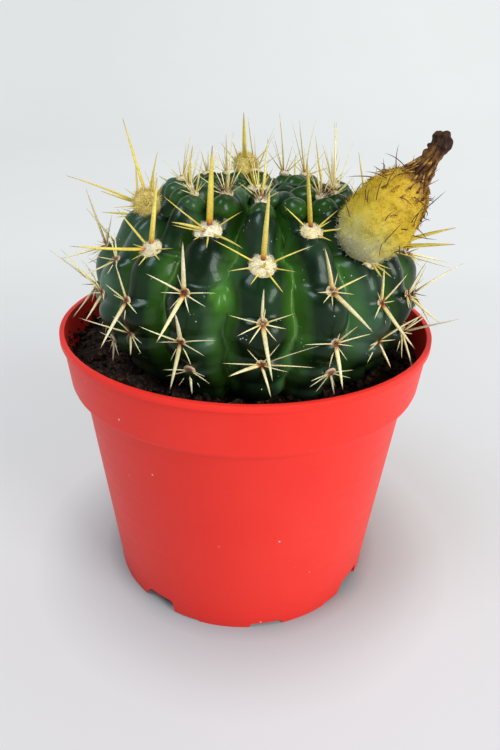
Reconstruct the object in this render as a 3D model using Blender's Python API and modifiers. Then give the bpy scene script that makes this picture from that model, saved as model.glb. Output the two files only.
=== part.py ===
"""A round cactus in a nursery pot: pot, soil, ribbed stem, spine clusters, fruit and dried flower.

The frame stands on the middle of the pot's underside, +Z up and -Y to the front.
Azimuths are in degrees from the front, positive towards +X.
"""

import math

import bmesh
import bpy
import numpy as np
from mathutils import Matrix, Vector
from mathutils.bvhtree import BVHTree

MM = 0.001
GAP = 0.3 * MM

# Pot: a moulded nursery pot with a wide band, a thin lip and a notched foot.
POT_HEIGHT = 81.0 * MM
RIM_RADIUS = 52.5 * MM
LIP_HEIGHT = 1.5 * MM
LIP_REACH = 0.6 * MM
BAND_DEPTH = 14.6 * MM
BAND_RADIUS = 50.7 * MM
NECK_RADIUS = 47.8 * MM
BASE_RADIUS = 41.7 * MM
POT_WALL = 1.3 * MM
FLOOR_RISE = 5.0 * MM
FOOT_WALL = 1.7 * MM
FOOT_EDGE = 0.3 * MM
PAD_RADIUS = 13.0 * MM
PAD_SLOPE = 1.6 * MM
POT_STEPS = 60
FOOT_TURN = 11.0
FOOT_COUNT = 4
DEEP_NOTCH_WIDTH = 14.0
DEEP_NOTCH_HEIGHT = 4.4 * MM
SHALLOW_NOTCH_WIDTH = 13.5
SHALLOW_NOTCH_HEIGHT = 1.4 * MM
FOOT_STEP_WIDTH = 35.0
FOOT_STEP_HEIGHT = 0.5 * MM
DRAIN_RADIUS = 3.5 * MM
DRAIN_CIRCLE = 27.0 * MM

# Soil
SOIL_DEPTH = 9.5 * MM
SOIL_DISH = 1.2 * MM
CUP_CLEARANCE = 0.5 * MM
CUP_POINTS = 6
SOIL_STEPS = 48

# Stem: an oblate ribbed body, wider than it is high, with a sunken crown.
STEM_X = 2.4 * MM
STEM_ABOVE_RIM = 11.0 * MM
STEM_RADIUS = 44.0 * MM
STEM_TOP_HALF = 25.5 * MM
STEM_BURIED_HALF = 32.0 * MM
CROWN_DIP = 3.5 * MM
CROWN_SHARE = 0.3
RIB_COUNT = 16
RIB_TURN = 2.0
# How far each rib stands from its even place, in degrees; a grown stem isn't quite regular.
RIB_DRIFTS = (0.0, 0.0, -2.5, -8.0, -6.0, -3.0, 0.0, 0.0, 0.0, 0.0, 0.0, 2.0, 4.0, 5.5, 0.0, -1.5)
FURROW_DEPTH = 5.2 * MM
TUBERCLE_HEIGHT = 0.9 * MM
STEM_SEGMENTS = 96
STEM_RINGS = 20

# Areoles: rows down each rib; neighbouring ribs stand half a step apart.
EVEN_TOP_ROW = 36.0
ODD_TOP_ROW = 49.5
ROW_STEP = 26.0
LOW_ROW_SHARE = 0.6
ROW_COUNT = 3
WOOL_RADII = (2.9 * MM, 2.2 * MM, 1.6 * MM)
WOOL_FLATNESS = 0.5
BUD_RADIUS = 3.6 * MM
BUD_FLATNESS = 0.95
BUD_PLACES = ((13, 0), (8, 0))
CROWN_WOOL_RADIUS = 3.2 * MM
CROWN_SPINES = ((20.0, 62.0, 9.0 * MM), (140.0, 66.0, 8.0 * MM), (260.0, 60.0, 9.0 * MM))

# Spines: turn about the areole from straight up, rise from the stem's surface, length.
STOUT_SPINES = ((7.0, 52.0, 15.0 * MM), (168.0, 42.0, 13.0 * MM))
RADIAL_SPINES = (
    (38.0, 20.0, 9.5 * MM),
    (76.0, 14.0, 11.0 * MM),
    (112.0, 24.0, 9.0 * MM),
    (146.0, 16.0, 8.5 * MM),
    (205.0, 15.0, 8.0 * MM),
    (240.0, 25.0, 9.5 * MM),
    (282.0, 13.0, 11.0 * MM),
    (322.0, 22.0, 9.5 * MM),
)
SWING = 7.0
SWING_BY_RIB = 12.9
SWING_BY_ROW = 7.3
SWING_BY_SPINE = 4.1
SPINE_CLEARANCE = 1.0 * MM
SHORTEST_SPINE = 3.0 * MM
SPINE_SAMPLES = 30

# Fruit and the dried flower on its tip; the fruit grows from the top areole of one rib.
FRUIT_RIB = 2
FRUIT_ROW = 0
FRUIT_WOOL_RADIUS = 1.2 * MM
FRUIT_RADIUS = 9.2 * MM
FRUIT_LENGTH = 19.5 * MM
FRUIT_AXIS = Vector((0.43, 0.18, 0.885)).normalized()
FRUIT_TAPER = 0.12
FLOWER_LENGTH = 13.5 * MM
FLOWER_BASE_RADIUS = 4.2 * MM
FLOWER_TIP_RADIUS = 1.5 * MM
FLOWER_KNOB = 0.9 * MM

PARTS = "potted_round_cactus"
CUTTERS = "cutters"

COLOURS = {
    "pot_plastic": ((0.80, 0.035, 0.025, 1.0), 0.42),
    "peat": ((0.030, 0.018, 0.011, 1.0), 0.95),
    "stem_skin": ((0.030, 0.105, 0.040, 1.0), 0.35),
    "spine": ((0.62, 0.42, 0.12, 1.0), 0.50),
    "fruit_skin": ((0.66, 0.45, 0.03, 1.0), 0.75),
    "dried_flower": ((0.055, 0.028, 0.014, 1.0), 0.90),
}


def clear_scene():
    for item in list(bpy.data.objects):
        bpy.data.objects.remove(item, do_unlink=True)


def make_collection(name):
    group = bpy.data.collections.new(name)
    bpy.context.scene.collection.children.link(group)
    return group


def make_material(name):
    colour, roughness = COLOURS[name]
    material = bpy.data.materials.new(name)
    material.use_nodes = True
    shader = material.node_tree.nodes["Principled BSDF"]
    shader.inputs["Base Color"].default_value = colour
    shader.inputs["Roughness"].default_value = roughness
    shader.inputs["Metallic"].default_value = 0.0
    return material


def add_object(name, mesh, group, material=None):
    item = bpy.data.objects.new(name, mesh)
    group.objects.link(item)
    if material is not None:
        mesh.materials.append(material)
    return item


def finish_mesh(name, shape, smooth=True):
    bmesh.ops.recalc_face_normals(shape, faces=shape.faces)
    mesh = bpy.data.meshes.new(name)
    shape.to_mesh(mesh)
    shape.free()
    if smooth:
        mesh.shade_smooth()
    return mesh


def turned(name, profile, steps, group, material):
    """Turn a profile of (radius, height) about Z; it starts and ends on the axis."""
    mesh = bpy.data.meshes.new(name)
    edges = [(i, i + 1) for i in range(len(profile) - 1)]
    mesh.from_pydata([(radius, 0.0, height) for radius, height in profile], edges, [])
    item = add_object(name, mesh, group, material)
    screw = item.modifiers.new("turn", "SCREW")
    screw.axis = "Z"
    screw.steps = steps
    screw.render_steps = steps
    screw.use_merge_vertices = True
    screw.merge_threshold = 0.00001
    return item


def direction_at(azimuth):
    """Unit vector in the ground plane at an azimuth in degrees."""
    angle = math.radians(azimuth)
    return Vector((math.sin(angle), -math.cos(angle), 0.0))


def wall_radius(height):
    """Outer radius of the tapered wall at a height under the band."""
    share = height / (POT_HEIGHT - BAND_DEPTH)
    return BASE_RADIUS + (NECK_RADIUS - BASE_RADIUS) * share


def pot_profile():
    ledge = POT_HEIGHT - BAND_DEPTH
    floor_top = FLOOR_RISE + POT_WALL
    band_inner = BAND_RADIUS - POT_WALL
    rim_inner = RIM_RADIUS - POT_WALL
    lip_foot = POT_HEIGHT - LIP_HEIGHT
    foot_inner = BASE_RADIUS - FOOT_WALL
    return (
        (0.0, POT_WALL),
        (PAD_RADIUS - POT_WALL, POT_WALL),
        (PAD_RADIUS - POT_WALL + PAD_SLOPE, floor_top),
        (wall_radius(floor_top) - POT_WALL, floor_top),
        (NECK_RADIUS - POT_WALL, ledge + POT_WALL),
        (band_inner, ledge + POT_WALL),
        (rim_inner, POT_HEIGHT - LIP_REACH / 2),
        (rim_inner + LIP_REACH / 2, POT_HEIGHT),
        (RIM_RADIUS - LIP_REACH / 2, POT_HEIGHT),
        (RIM_RADIUS, POT_HEIGHT - LIP_REACH / 2),
        (RIM_RADIUS, lip_foot),
        (RIM_RADIUS - LIP_REACH, lip_foot - LIP_REACH / 2),
        (BAND_RADIUS, ledge + FOOT_EDGE),
        (BAND_RADIUS - FOOT_EDGE, ledge),
        (NECK_RADIUS, ledge),
        (BASE_RADIUS, FOOT_EDGE),
        (BASE_RADIUS - FOOT_EDGE, 0.0),
        (foot_inner, 0.0),
        (foot_inner, FLOOR_RISE),
        (PAD_RADIUS + PAD_SLOPE, FLOOR_RISE),
        (PAD_RADIUS, 0.0),
        (0.0, 0.0),
    )


def notch_cutter(name, azimuth, width, height, group):
    """A box through the foot ring, open to the ground."""
    reach = FOOT_WALL + 4 * POT_WALL
    across = 2.0 * BASE_RADIUS * math.sin(math.radians(width / 2.0))
    shape = bmesh.new()
    bmesh.ops.create_cube(shape, size=1.0)
    bmesh.ops.scale(shape, vec=(across, reach, 2.0 * height), verts=shape.verts)
    turn = Matrix.Rotation(math.radians(azimuth), 4, "Z")
    middle = direction_at(azimuth) * (BASE_RADIUS - FOOT_WALL / 2.0)
    bmesh.ops.transform(shape, matrix=Matrix.Translation(middle) @ turn, verts=shape.verts)
    return add_object(name, finish_mesh(name, shape, smooth=False), group)


def drain_cutter(name, azimuth, group):
    shape = bmesh.new()
    bmesh.ops.create_cone(
        shape,
        cap_ends=True,
        segments=16,
        radius1=DRAIN_RADIUS,
        radius2=DRAIN_RADIUS,
        depth=6.0 * POT_WALL,
    )
    middle = direction_at(azimuth) * DRAIN_CIRCLE + Vector((0.0, 0.0, FLOOR_RISE))
    bmesh.ops.translate(shape, vec=middle, verts=shape.verts)
    return add_object(name, finish_mesh(name, shape, smooth=False), group)


def make_pot(parts, cutters):
    pot = turned("pot", pot_profile(), POT_STEPS, parts, make_material("pot_plastic"))
    pitch = 360.0 / FOOT_COUNT
    for foot in range(FOOT_COUNT):
        middle = FOOT_TURN + foot * pitch
        between = middle + pitch / 2.0
        notch_cutter(f"shallow_{foot}", middle, SHALLOW_NOTCH_WIDTH, SHALLOW_NOTCH_HEIGHT, cutters)
        notch_cutter(f"deep_{foot}", between, DEEP_NOTCH_WIDTH, DEEP_NOTCH_HEIGHT, cutters)
        notch_cutter(f"step_{foot}", between, FOOT_STEP_WIDTH, FOOT_STEP_HEIGHT, cutters)
        drain_cutter(f"drain_{foot}", between, cutters)
    for cutter in cutters.objects:
        cutter.hide_render = True
        cutter.display_type = "WIRE"
    cut = pot.modifiers.new("notches and drains", "BOOLEAN")
    cut.operand_type = "COLLECTION"
    cut.collection = cutters
    cut.solver = "EXACT"
    return pot


def stem_centre():
    return Vector((STEM_X, 0.0, POT_HEIGHT + STEM_ABOVE_RIM))


def crest_radius(height):
    """Widest radius of the stem at a height under its middle."""
    share = min(1.0, (stem_centre().z - height) / STEM_BURIED_HALF)
    return (STEM_RADIUS + TUBERCLE_HEIGHT) * math.sqrt(max(0.0, 1.0 - share * share))


def soil_profile():
    """The soil fills the pot and cups the stem's buried end."""
    top = POT_HEIGHT - SOIL_DEPTH
    ledge = POT_HEIGHT - BAND_DEPTH + POT_WALL
    floor = FLOOR_RISE + POT_WALL + GAP
    band_slope = (RIM_RADIUS - BAND_RADIUS) / BAND_DEPTH
    top_radius = BAND_RADIUS - POT_WALL + band_slope * (top - ledge) - GAP
    stem_bottom = stem_centre().z - STEM_BURIED_HALF
    profile = []
    for step in range(CUP_POINTS + 1):
        # The cosine sets the cup's points close together where it curves most.
        rise = 1.0 - math.cos(math.radians(90.0 * step / CUP_POINTS))
        height = stem_bottom + rise * (top - SOIL_DISH - stem_bottom)
        radius = crest_radius(height) + abs(STEM_X) + GAP + CUP_CLEARANCE if step else 0.0
        profile.append((radius, height - GAP - CUP_CLEARANCE * (1.0 - rise)))
    profile[-1] = (profile[-1][0], top - SOIL_DISH)
    profile += [
        (top_radius, top),
        (BAND_RADIUS - POT_WALL - GAP, ledge + GAP),
        (NECK_RADIUS - POT_WALL - GAP, ledge + GAP),
        (wall_radius(floor) - POT_WALL - GAP, floor),
        (PAD_RADIUS - POT_WALL + PAD_SLOPE - GAP, floor),
        (PAD_RADIUS - POT_WALL - 2 * GAP, POT_WALL + GAP),
        (0.0, POT_WALL + GAP),
    ]
    return profile


def rib_azimuth(rib):
    return RIB_TURN + rib * 360.0 / RIB_COUNT + RIB_DRIFTS[rib % len(RIB_DRIFTS)]


def rib_phase(azimuth):
    """Nearest rib and the share of the way from its crest to the furrow beside it."""
    nearest = round((azimuth - RIB_TURN) * RIB_COUNT / 360.0)
    rib = min((nearest - 1, nearest, nearest + 1), key=lambda item: abs(azimuth - rib_azimuth(item)))
    away = azimuth - rib_azimuth(rib)
    neighbour = rib + 1 if away > 0.0 else rib - 1
    return rib % RIB_COUNT, 2.0 * away / abs(rib_azimuth(neighbour) - rib_azimuth(rib))


def row_latitude(rib, row):
    """Rows stand evenly above the stem's widest level and close up under it."""
    top = ODD_TOP_ROW if rib % 2 else EVEN_TOP_ROW
    latitude = top - ROW_STEP * row
    return latitude if latitude > 0.0 else latitude * LOW_ROW_SHARE


def rows_down(rib, latitude):
    """How many rows a latitude lies under its rib's top row."""
    even = latitude if latitude > 0.0 else latitude / LOW_ROW_SHARE
    return (row_latitude(rib, 0) - even) / ROW_STEP


def stem_point(azimuth, latitude):
    """Point on the ribbed skin; the latitude is in degrees above the stem's middle."""
    angle = math.radians(latitude)
    ring = math.cos(angle)
    rib, offset = rib_phase(azimuth)
    half = STEM_TOP_HALF if latitude > 0.0 else STEM_BURIED_HALF
    beat = math.cos(2.0 * math.pi * rows_down(rib, latitude))
    crest = TUBERCLE_HEIGHT * beat * (1.0 - offset * offset) * ring
    furrow = FURROW_DEPTH * abs(offset) ** 2.2 * min(1.0, ring * 1.6)
    radius = STEM_RADIUS * ring + crest - furrow * ring
    dip = CROWN_DIP * math.exp(-((ring / CROWN_SHARE) ** 2)) if latitude > 0.0 else 0.0
    height = half * math.sin(angle) + crest * math.sin(angle) - dip
    return stem_centre() + direction_at(azimuth) * max(radius, 0.0) + Vector((0.0, 0.0, height))


def make_stem(parts):
    shape = bmesh.new()
    bmesh.ops.create_uvsphere(shape, u_segments=STEM_SEGMENTS, v_segments=STEM_RINGS, radius=1.0)
    for vertex in shape.verts:
        azimuth = math.degrees(math.atan2(vertex.co.x, -vertex.co.y))
        latitude = math.degrees(math.asin(max(-1.0, min(1.0, vertex.co.z))))
        vertex.co = stem_point(azimuth, latitude)
    return add_object("cactus_stem", finish_mesh("cactus_stem", shape), parts, make_material("stem_skin"))


def surface_tree(item):
    """Search tree over an object's finished mesh."""
    return BVHTree.FromObject(item, bpy.context.evaluated_depsgraph_get())


def areole_frame(rib, row, tree):
    """Point on the skin, and its sideways, upward and outward directions."""
    azimuth = rib_azimuth(rib)
    latitude = math.radians(row_latitude(rib, row))
    half = STEM_TOP_HALF if latitude > 0.0 else STEM_BURIED_HALF
    outward = direction_at(azimuth) * (math.cos(latitude) / STEM_RADIUS)
    outward += Vector((0.0, 0.0, math.sin(latitude) / half))
    outward.normalize()
    guess = stem_point(azimuth, math.degrees(latitude))
    start = guess + outward * STEM_RADIUS
    point = tree.ray_cast(start, -outward)[0] or guess
    side = Vector((0.0, 0.0, 1.0)).cross(outward).normalized()
    return point, side, outward.cross(side).normalized(), outward


def spine_direction(turn, rise, frame):
    turn, rise = math.radians(turn), math.radians(rise)
    _, side, up, outward = frame
    along = up * math.cos(turn) + side * math.sin(turn)
    return along * math.cos(rise) + outward * math.sin(rise)


def free_length(start, direction, length, trees, placed):
    """Length at which a spine still clears the solids and the spines placed before it."""
    for tree in trees:
        hit = tree.ray_cast(start, direction, length + SPINE_CLEARANCE)[0]
        if hit is not None:
            length = min(length, (hit - start).length - SPINE_CLEARANCE)
    if not placed:
        return length
    begins = np.array([item[0] for item in placed])
    spans = np.array([item[1] for item in placed]) - begins
    squares = np.maximum((spans * spans).sum(axis=1), 1e-12)
    for step in range(1, SPINE_SAMPLES + 1):
        reach = length * step / SPINE_SAMPLES
        offsets = np.array(start + direction * reach) - begins
        shares = np.clip((offsets * spans).sum(axis=1) / squares, 0.0, 1.0)
        distances = np.linalg.norm(offsets - spans * shares[:, None], axis=1)
        if distances.min() < SPINE_CLEARANCE:
            return length * (step - 2) / SPINE_SAMPLES
    return length


def swing(rib, row, number):
    """A small turn that differs from spine to spine and is the same each run."""
    return SWING * math.sin(SWING_BY_RIB * rib + SWING_BY_ROW * row + SWING_BY_SPINE * number)


def face_towards(shape, centre, direction):
    """The wool's face that looks most nearly along a direction and carries no spine yet."""

    def likeness(face):
        return (face.calc_center_median() - centre).normalized().dot(direction)

    return max((face for face in shape.faces if not face.tag), key=likeness)


def draw_spine(shape, face, tip):
    """Pull the middle of one of the wool's faces out to a spine's tip."""
    drawn = bmesh.ops.poke(shape, faces=[face])
    for side in drawn["faces"]:
        side.tag = True
    drawn["verts"][0].co = tip


def wool_with_spines(name, frame, radius, height, spines, trees, placed):
    """A tuft of wool with its spines drawn out of it, as one closed piece."""
    point, side, up, outward = frame
    centre = point + outward * (height + GAP)
    shape = bmesh.new()
    bmesh.ops.create_icosphere(shape, subdivisions=2, radius=1.0)
    for vertex in shape.verts:
        local = vertex.co.copy()
        vertex.co = centre + side * local.x * radius + up * local.y * radius
        vertex.co += outward * local.z * height
    lines = []
    for turn, rise, length in spines:
        direction = spine_direction(turn, rise, frame)
        face = face_towards(shape, centre, direction)
        start = face.calc_center_median()
        length = free_length(start, direction, length, trees, placed)
        if length > SHORTEST_SPINE:
            draw_spine(shape, face, start + direction * length)
            lines.append((tuple(start), tuple(start + direction * length)))
    for spot in (side, -side, up, -up):
        lines.append((tuple(centre), tuple(centre + spot * radius)))
    placed.extend(lines)
    return finish_mesh(name, shape, smooth=False)


def make_cluster(rib, row, tree, trees, placed, parts, material):
    """The wool and spines of one areole, or the bigger woolly bud that two of them carry."""
    name = f"spines_rib{rib + 1:02d}_row{row + 1}"
    radius = WOOL_RADII[row]
    flatness = WOOL_FLATNESS
    spines = STOUT_SPINES + RADIAL_SPINES
    if (rib, row) in BUD_PLACES:
        name = f"woolly_bud_rib{rib + 1:02d}"
        radius = BUD_RADIUS
        flatness = BUD_FLATNESS
    if (rib, row) == (FRUIT_RIB, FRUIT_ROW):
        radius = FRUIT_WOOL_RADIUS
        spines = RADIAL_SPINES
    swung = []
    for number, (turn, rise, length) in enumerate(spines):
        change = swing(rib, row, number)
        swung.append((turn + change, rise + change / 3.0, length))
    frame = areole_frame(rib, row, tree)
    mesh = wool_with_spines(name, frame, radius, radius * flatness, swung, trees, placed)
    return add_object(name, mesh, parts, material)


def make_crown_wool(tree, trees, placed, parts, material):
    """The tuft of new wool and young spines in the sunken growing tip."""
    above = stem_centre() + Vector((0.0, 0.0, 2.0 * STEM_TOP_HALF))
    point = tree.ray_cast(above, Vector((0.0, 0.0, -1.0)))[0]
    frame = (point, Vector((1.0, 0.0, 0.0)), Vector((0.0, 1.0, 0.0)), Vector((0.0, 0.0, 1.0)))
    height = CROWN_WOOL_RADIUS * WOOL_FLATNESS + CROWN_DIP / 2.0
    mesh = wool_with_spines("crown_wool", frame, CROWN_WOOL_RADIUS, height, CROWN_SPINES, trees, placed)
    return add_object("crown_wool", mesh, parts, material)


def fruit_start(tree):
    """Lower end of the fruit: its round foot leans over the areole's wool and just clears it."""
    point, _, _, outward = areole_frame(FRUIT_RIB, FRUIT_ROW, tree)
    lean = FRUIT_AXIS.angle(outward)
    wool_top = 2.0 * FRUIT_WOOL_RADIUS * WOOL_FLATNESS + GAP
    foot = FRUIT_RADIUS**2 / (FRUIT_LENGTH / 2.0)
    aside = foot * math.sin(lean) - FRUIT_WOOL_RADIUS
    rise = math.sqrt((foot + GAP) ** 2 - aside**2) - foot * math.cos(lean)
    return point + outward * (wool_top + rise)


def ovoid(name, start, axis, length, radius_at, rings, segments):
    """A closed round body along an axis, whose radius follows a share of its length."""
    shape = bmesh.new()
    bmesh.ops.create_uvsphere(shape, u_segments=segments, v_segments=rings, radius=1.0)
    turn = axis.to_track_quat("Z", "Y")
    for vertex in shape.verts:
        share = 0.5 + vertex.co.z / 2.0
        ring = math.hypot(vertex.co.x, vertex.co.y)
        radius = radius_at(share)
        local = Vector((vertex.co.x, vertex.co.y, 0.0))
        if ring > 1e-6:
            local *= radius / ring
        local.z = length * share
        vertex.co = start + turn @ local
    return finish_mesh(name, shape)


def fruit_radius(share):
    """A round lower end and a blunter top, where the flower sits."""
    half_chord = max(0.0, 1.0 - (2.0 * share - 1.0) ** 2)
    power = 0.5 if share < 0.5 else 0.36
    return FRUIT_RADIUS * half_chord**power * (1.0 - FRUIT_TAPER * share)


def flower_radius(share):
    """A drawn-out cone with a flat foot on the fruit and a knob at its tip."""
    taper = FLOWER_BASE_RADIUS + (FLOWER_TIP_RADIUS - FLOWER_BASE_RADIUS) * min(1.0, share / 0.6)
    knob = FLOWER_KNOB * math.exp(-(((share - 0.85) / 0.12) ** 2))
    rounded_tip = min(1.0, 3.0 * math.sqrt(max(0.0, 1.0 - share)))
    return (taper + knob) * rounded_tip


def make_fruit(tree, parts):
    start = fruit_start(tree)
    mesh = ovoid("fruit", start, FRUIT_AXIS, FRUIT_LENGTH, fruit_radius, 12, 18)
    fruit = add_object("fruit", mesh, parts, make_material("fruit_skin"))
    tip = start + FRUIT_AXIS * (FRUIT_LENGTH + GAP)
    mesh = ovoid("dried_flower", tip, FRUIT_AXIS, FLOWER_LENGTH, flower_radius, 10, 12)
    flower = add_object("dried_flower", mesh, parts, make_material("dried_flower"))
    return fruit, flower


def build():
    clear_scene()
    parts = make_collection(PARTS)
    cutters = make_collection(CUTTERS)
    pot = make_pot(parts, cutters)
    soil = turned("soil", soil_profile(), SOIL_STEPS, parts, make_material("peat"))
    stem = make_stem(parts)
    tree = surface_tree(stem)
    fruit, flower = make_fruit(tree, parts)
    trees = [surface_tree(item) for item in (stem, pot, soil, fruit, flower)]
    material = make_material("spine")
    placed = []
    for row in range(ROW_COUNT):
        for rib in range(RIB_COUNT):
            make_cluster(rib, row, tree, trees, placed, parts, material)
    make_crown_wool(tree, trees, placed, parts, material)


build()
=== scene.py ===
"""A round cactus in a red nursery pot, built up as it is potted: pot, peat, stem, spines, fruit, flower."""

import math
from functools import partial

import bpy
import numpy as np
from mathutils import Matrix, Vector


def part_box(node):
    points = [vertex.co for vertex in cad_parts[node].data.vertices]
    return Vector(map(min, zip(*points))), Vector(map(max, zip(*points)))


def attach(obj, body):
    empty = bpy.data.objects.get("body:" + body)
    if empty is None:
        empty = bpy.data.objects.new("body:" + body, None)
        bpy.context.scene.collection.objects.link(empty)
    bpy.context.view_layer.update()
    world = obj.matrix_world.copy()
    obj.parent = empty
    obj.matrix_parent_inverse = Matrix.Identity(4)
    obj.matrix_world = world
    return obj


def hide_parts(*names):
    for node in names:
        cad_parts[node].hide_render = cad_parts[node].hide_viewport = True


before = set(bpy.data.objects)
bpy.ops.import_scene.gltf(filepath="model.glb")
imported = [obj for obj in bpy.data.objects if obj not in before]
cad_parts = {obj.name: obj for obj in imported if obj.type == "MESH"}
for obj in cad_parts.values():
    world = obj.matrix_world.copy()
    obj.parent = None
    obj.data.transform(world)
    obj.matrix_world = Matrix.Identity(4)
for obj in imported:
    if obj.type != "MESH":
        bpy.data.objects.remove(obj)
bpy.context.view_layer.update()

# ---------------------------------------------------------------------------------------------
# Studio: a pale sheet on a table, swept up behind, in a bright room with a window to the right.
# The camera stands in front, a little above the plant, and is turned slightly in the hand.

MM = 0.001
SHEET_FLAT = 1.3
SHEET_REACH = 2.4
SHEET_RISE = 1.3
SHEET_STEPS = 96
CAMERA_PLACE = Vector((1.5, -159.2, 143.7)) * MM
CAMERA_PITCH = 62.74
CAMERA_ROLL = 1.41
CAMERA_LENS = 27.9


def paint(code):
    """An sRGB hex code as a linear colour."""
    parts = [int(code[i : i + 2], 16) / 255.0 for i in (1, 3, 5)]
    linear = [part / 12.92 if part <= 0.04045 else ((part + 0.055) / 1.055) ** 2.4 for part in parts]
    return (*linear, 1.0)


def feed(item, inputs):
    """Give each named input of a node its value, or a link from a socket or a node's first live output."""
    for name, value in inputs.items():
        if isinstance(value, bpy.types.Node):
            value = next(socket for socket in value.outputs if socket.enabled)
        if isinstance(value, bpy.types.NodeSocket):
            item.id_data.links.new(value, item.inputs[name])
        else:
            item.inputs[name].default_value = value


def add_node(tree, kind, inputs=None, stops=(), **settings):
    """Add a node, set it up and feed it; stops are for a colour ramp."""
    item = tree.nodes.new("ShaderNode" + kind)
    for name, value in settings.items():
        setattr(item, name, value)
    feed(item, inputs or {})
    for number, (place, colour) in enumerate(stops):
        elements = item.color_ramp.elements
        element = elements[number] if number < 2 else elements.new(place)
        element.position = place
        element.color = paint(colour) if isinstance(colour, str) else (colour, colour, colour, 1.0)
    return item


def new_material(name):
    """A material, the function that adds nodes to it, and its Principled shader."""
    material = bpy.data.materials.new(name)
    material.use_nodes = True
    tree = material.node_tree
    return material, partial(add_node, tree), tree.nodes["Principled BSDF"]


def deselect_all():
    if bpy.context.object is not None and bpy.context.object.mode != "OBJECT":
        bpy.ops.object.mode_set(mode="OBJECT")
    bpy.ops.object.select_all(action="DESELECT")


def drawn_line(name, corners):
    """A circle pulled into an open line of (radius, height) corners, ready to spin."""
    deselect_all()
    bpy.ops.mesh.primitive_circle_add(vertices=len(corners), radius=0.01)
    item = bpy.context.object
    item.name = name
    for vertex, (radius, height) in zip(item.data.vertices, corners):
        vertex.co = (radius, 0.0, height)
    last = len(corners) - 1
    bpy.ops.object.mode_set(mode="EDIT")
    bpy.ops.mesh.select_mode(type="EDGE")
    bpy.ops.mesh.select_all(action="DESELECT")
    bpy.ops.object.mode_set(mode="OBJECT")
    for edge in item.data.edges:
        edge.select = set(edge.vertices) == {0, last}
    bpy.ops.object.mode_set(mode="EDIT")
    bpy.ops.mesh.delete(type="EDGE")
    bpy.ops.object.mode_set(mode="OBJECT")
    return item


def spin_round(steps):
    """Turn the line just drawn about the pot's axis into a surface with its faces outwards."""
    bpy.ops.object.mode_set(mode="EDIT")
    bpy.ops.mesh.select_all(action="SELECT")
    bpy.ops.mesh.spin(steps=steps, angle=2.0 * math.pi, center=(0.0, 0.0, 0.0), axis=(0.0, 0.0, 1.0))
    bpy.ops.mesh.select_all(action="SELECT")
    bpy.ops.mesh.remove_doubles(threshold=0.000002)
    bpy.ops.mesh.normals_make_consistent(inside=False)
    bpy.ops.object.mode_set(mode="OBJECT")


sweep_line = [(0.0, 0.0), (0.2, 0.0), (SHEET_FLAT, 0.0)]
for turn in range(10, 91, 10):
    share = math.radians(turn)
    sweep_line.append((
        SHEET_FLAT + (SHEET_REACH - SHEET_FLAT) * math.sin(share), SHEET_RISE * (1.0 - math.cos(share))
    ))
sheet = drawn_line("backdrop_sheet", sweep_line)
spin_round(SHEET_STEPS)
bpy.ops.object.shade_smooth()
bpy.ops.object.mode_set(mode="EDIT")
bpy.ops.mesh.select_all(action="SELECT")
bpy.ops.mesh.flip_normals()
bpy.ops.object.mode_set(mode="OBJECT")
sheet.visible_shadow = False

# Paper: matt, with a painted glow: painted contact shadow where the pot stands, brighter outwards.
sheet_paper, add, shader = new_material("matt paper sheet")
place = add("TexCoord").outputs["Object"]
mottle = add("TexNoise", {"Vector": place, "Scale": 6.0, "Detail": 2.0})
tone = add("ValToRGB", {"Fac": mottle}, stops=((0.3, "#8E8E8E"), (0.7, "#929294")))
off_axis = add("VectorMath", {0: place}, operation="LENGTH")
reach = add("MapRange", {"Value": off_axis, "From Max": 2.0})
# Painted contact shadow within 46 mm of the axis; the painted glow grows brighter further out.
painted_glow_and_shadow = add("ValToRGB", {"Fac": reach}, stops=(
    (0.0195, "#0A0A0A"), (0.023, "#8E8D8C"), (0.034, "#CCCBCA"), (0.2, "#E6E9E8"), (0.45, "#F1F5F4"),
    (0.9, "#F8FCFB")
))
# Painted light: the sheet's glow is a little brighter on the window's side.
parts = add("SeparateXYZ", {0: place})
sideways = add("MapRange", {
    "Value": parts.outputs["X"], "From Min": -0.5, "From Max": 0.5, "To Min": 0.90, "To Max": 1.03
})
painted_sheet_glow = add("HueSaturation", {"Value": sideways, "Color": painted_glow_and_shadow})
feed(shader, {
    "Base Color": tone, "Emission Color": painted_sheet_glow, "Emission Strength": 0.73, "Roughness": 0.9,
    "Specular IOR Level": 0.0
})
sheet.data.materials.append(sheet_paper)

camera_data = bpy.data.cameras.new("camera")
camera_data.lens = CAMERA_LENS
camera_data.sensor_width = 36.0
camera_data.clip_start = 0.005
camera = bpy.data.objects.new("camera", camera_data)
bpy.context.scene.collection.objects.link(camera)
tilt = Matrix.Rotation(math.radians(CAMERA_PITCH), 4, "X")
roll = Matrix.Rotation(math.radians(CAMERA_ROLL), 4, "Z")
camera.matrix_world = Matrix.Translation(CAMERA_PLACE) @ tilt @ roll
bpy.context.scene.camera = camera

AIM = Vector((0.0, 0.0, 70.0)) * MM
LIGHTS = (
    # name, place in metres, width, height, watts, colour
    ("window right", (0.70, -0.62, 0.55), 0.46, 0.52, 10.0, "#FFFFFF"),
    ("skylight", (-0.30, -0.22, 0.85), 0.26, 0.36, 4.6, "#E2F0FF"),
    ("room behind", (0.4, 0.6, 1.2), 0.8, 0.5, 3.0, "#FFFFFF"),
)
for name, spot, width, height, watts, tint in LIGHTS:
    lamp = bpy.data.lights.new(name, "AREA")
    lamp.shape = "RECTANGLE"
    lamp.size = width
    lamp.size_y = height
    lamp.energy = watts
    lamp.color = paint(tint)[:3]
    holder = bpy.data.objects.new(name, lamp)
    holder.location = spot
    holder.rotation_euler = (AIM - Vector(spot)).to_track_quat("-Z", "Y").to_euler()
    bpy.context.scene.collection.objects.link(holder)

world = bpy.data.worlds.new("bright room")
world.use_nodes = True
feed(world.node_tree.nodes["Background"], {"Color": paint("#EEF3F7"), "Strength": 0.10})
bpy.context.scene.world = world
bpy.context.scene.view_settings.view_transform = "Standard"

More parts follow.
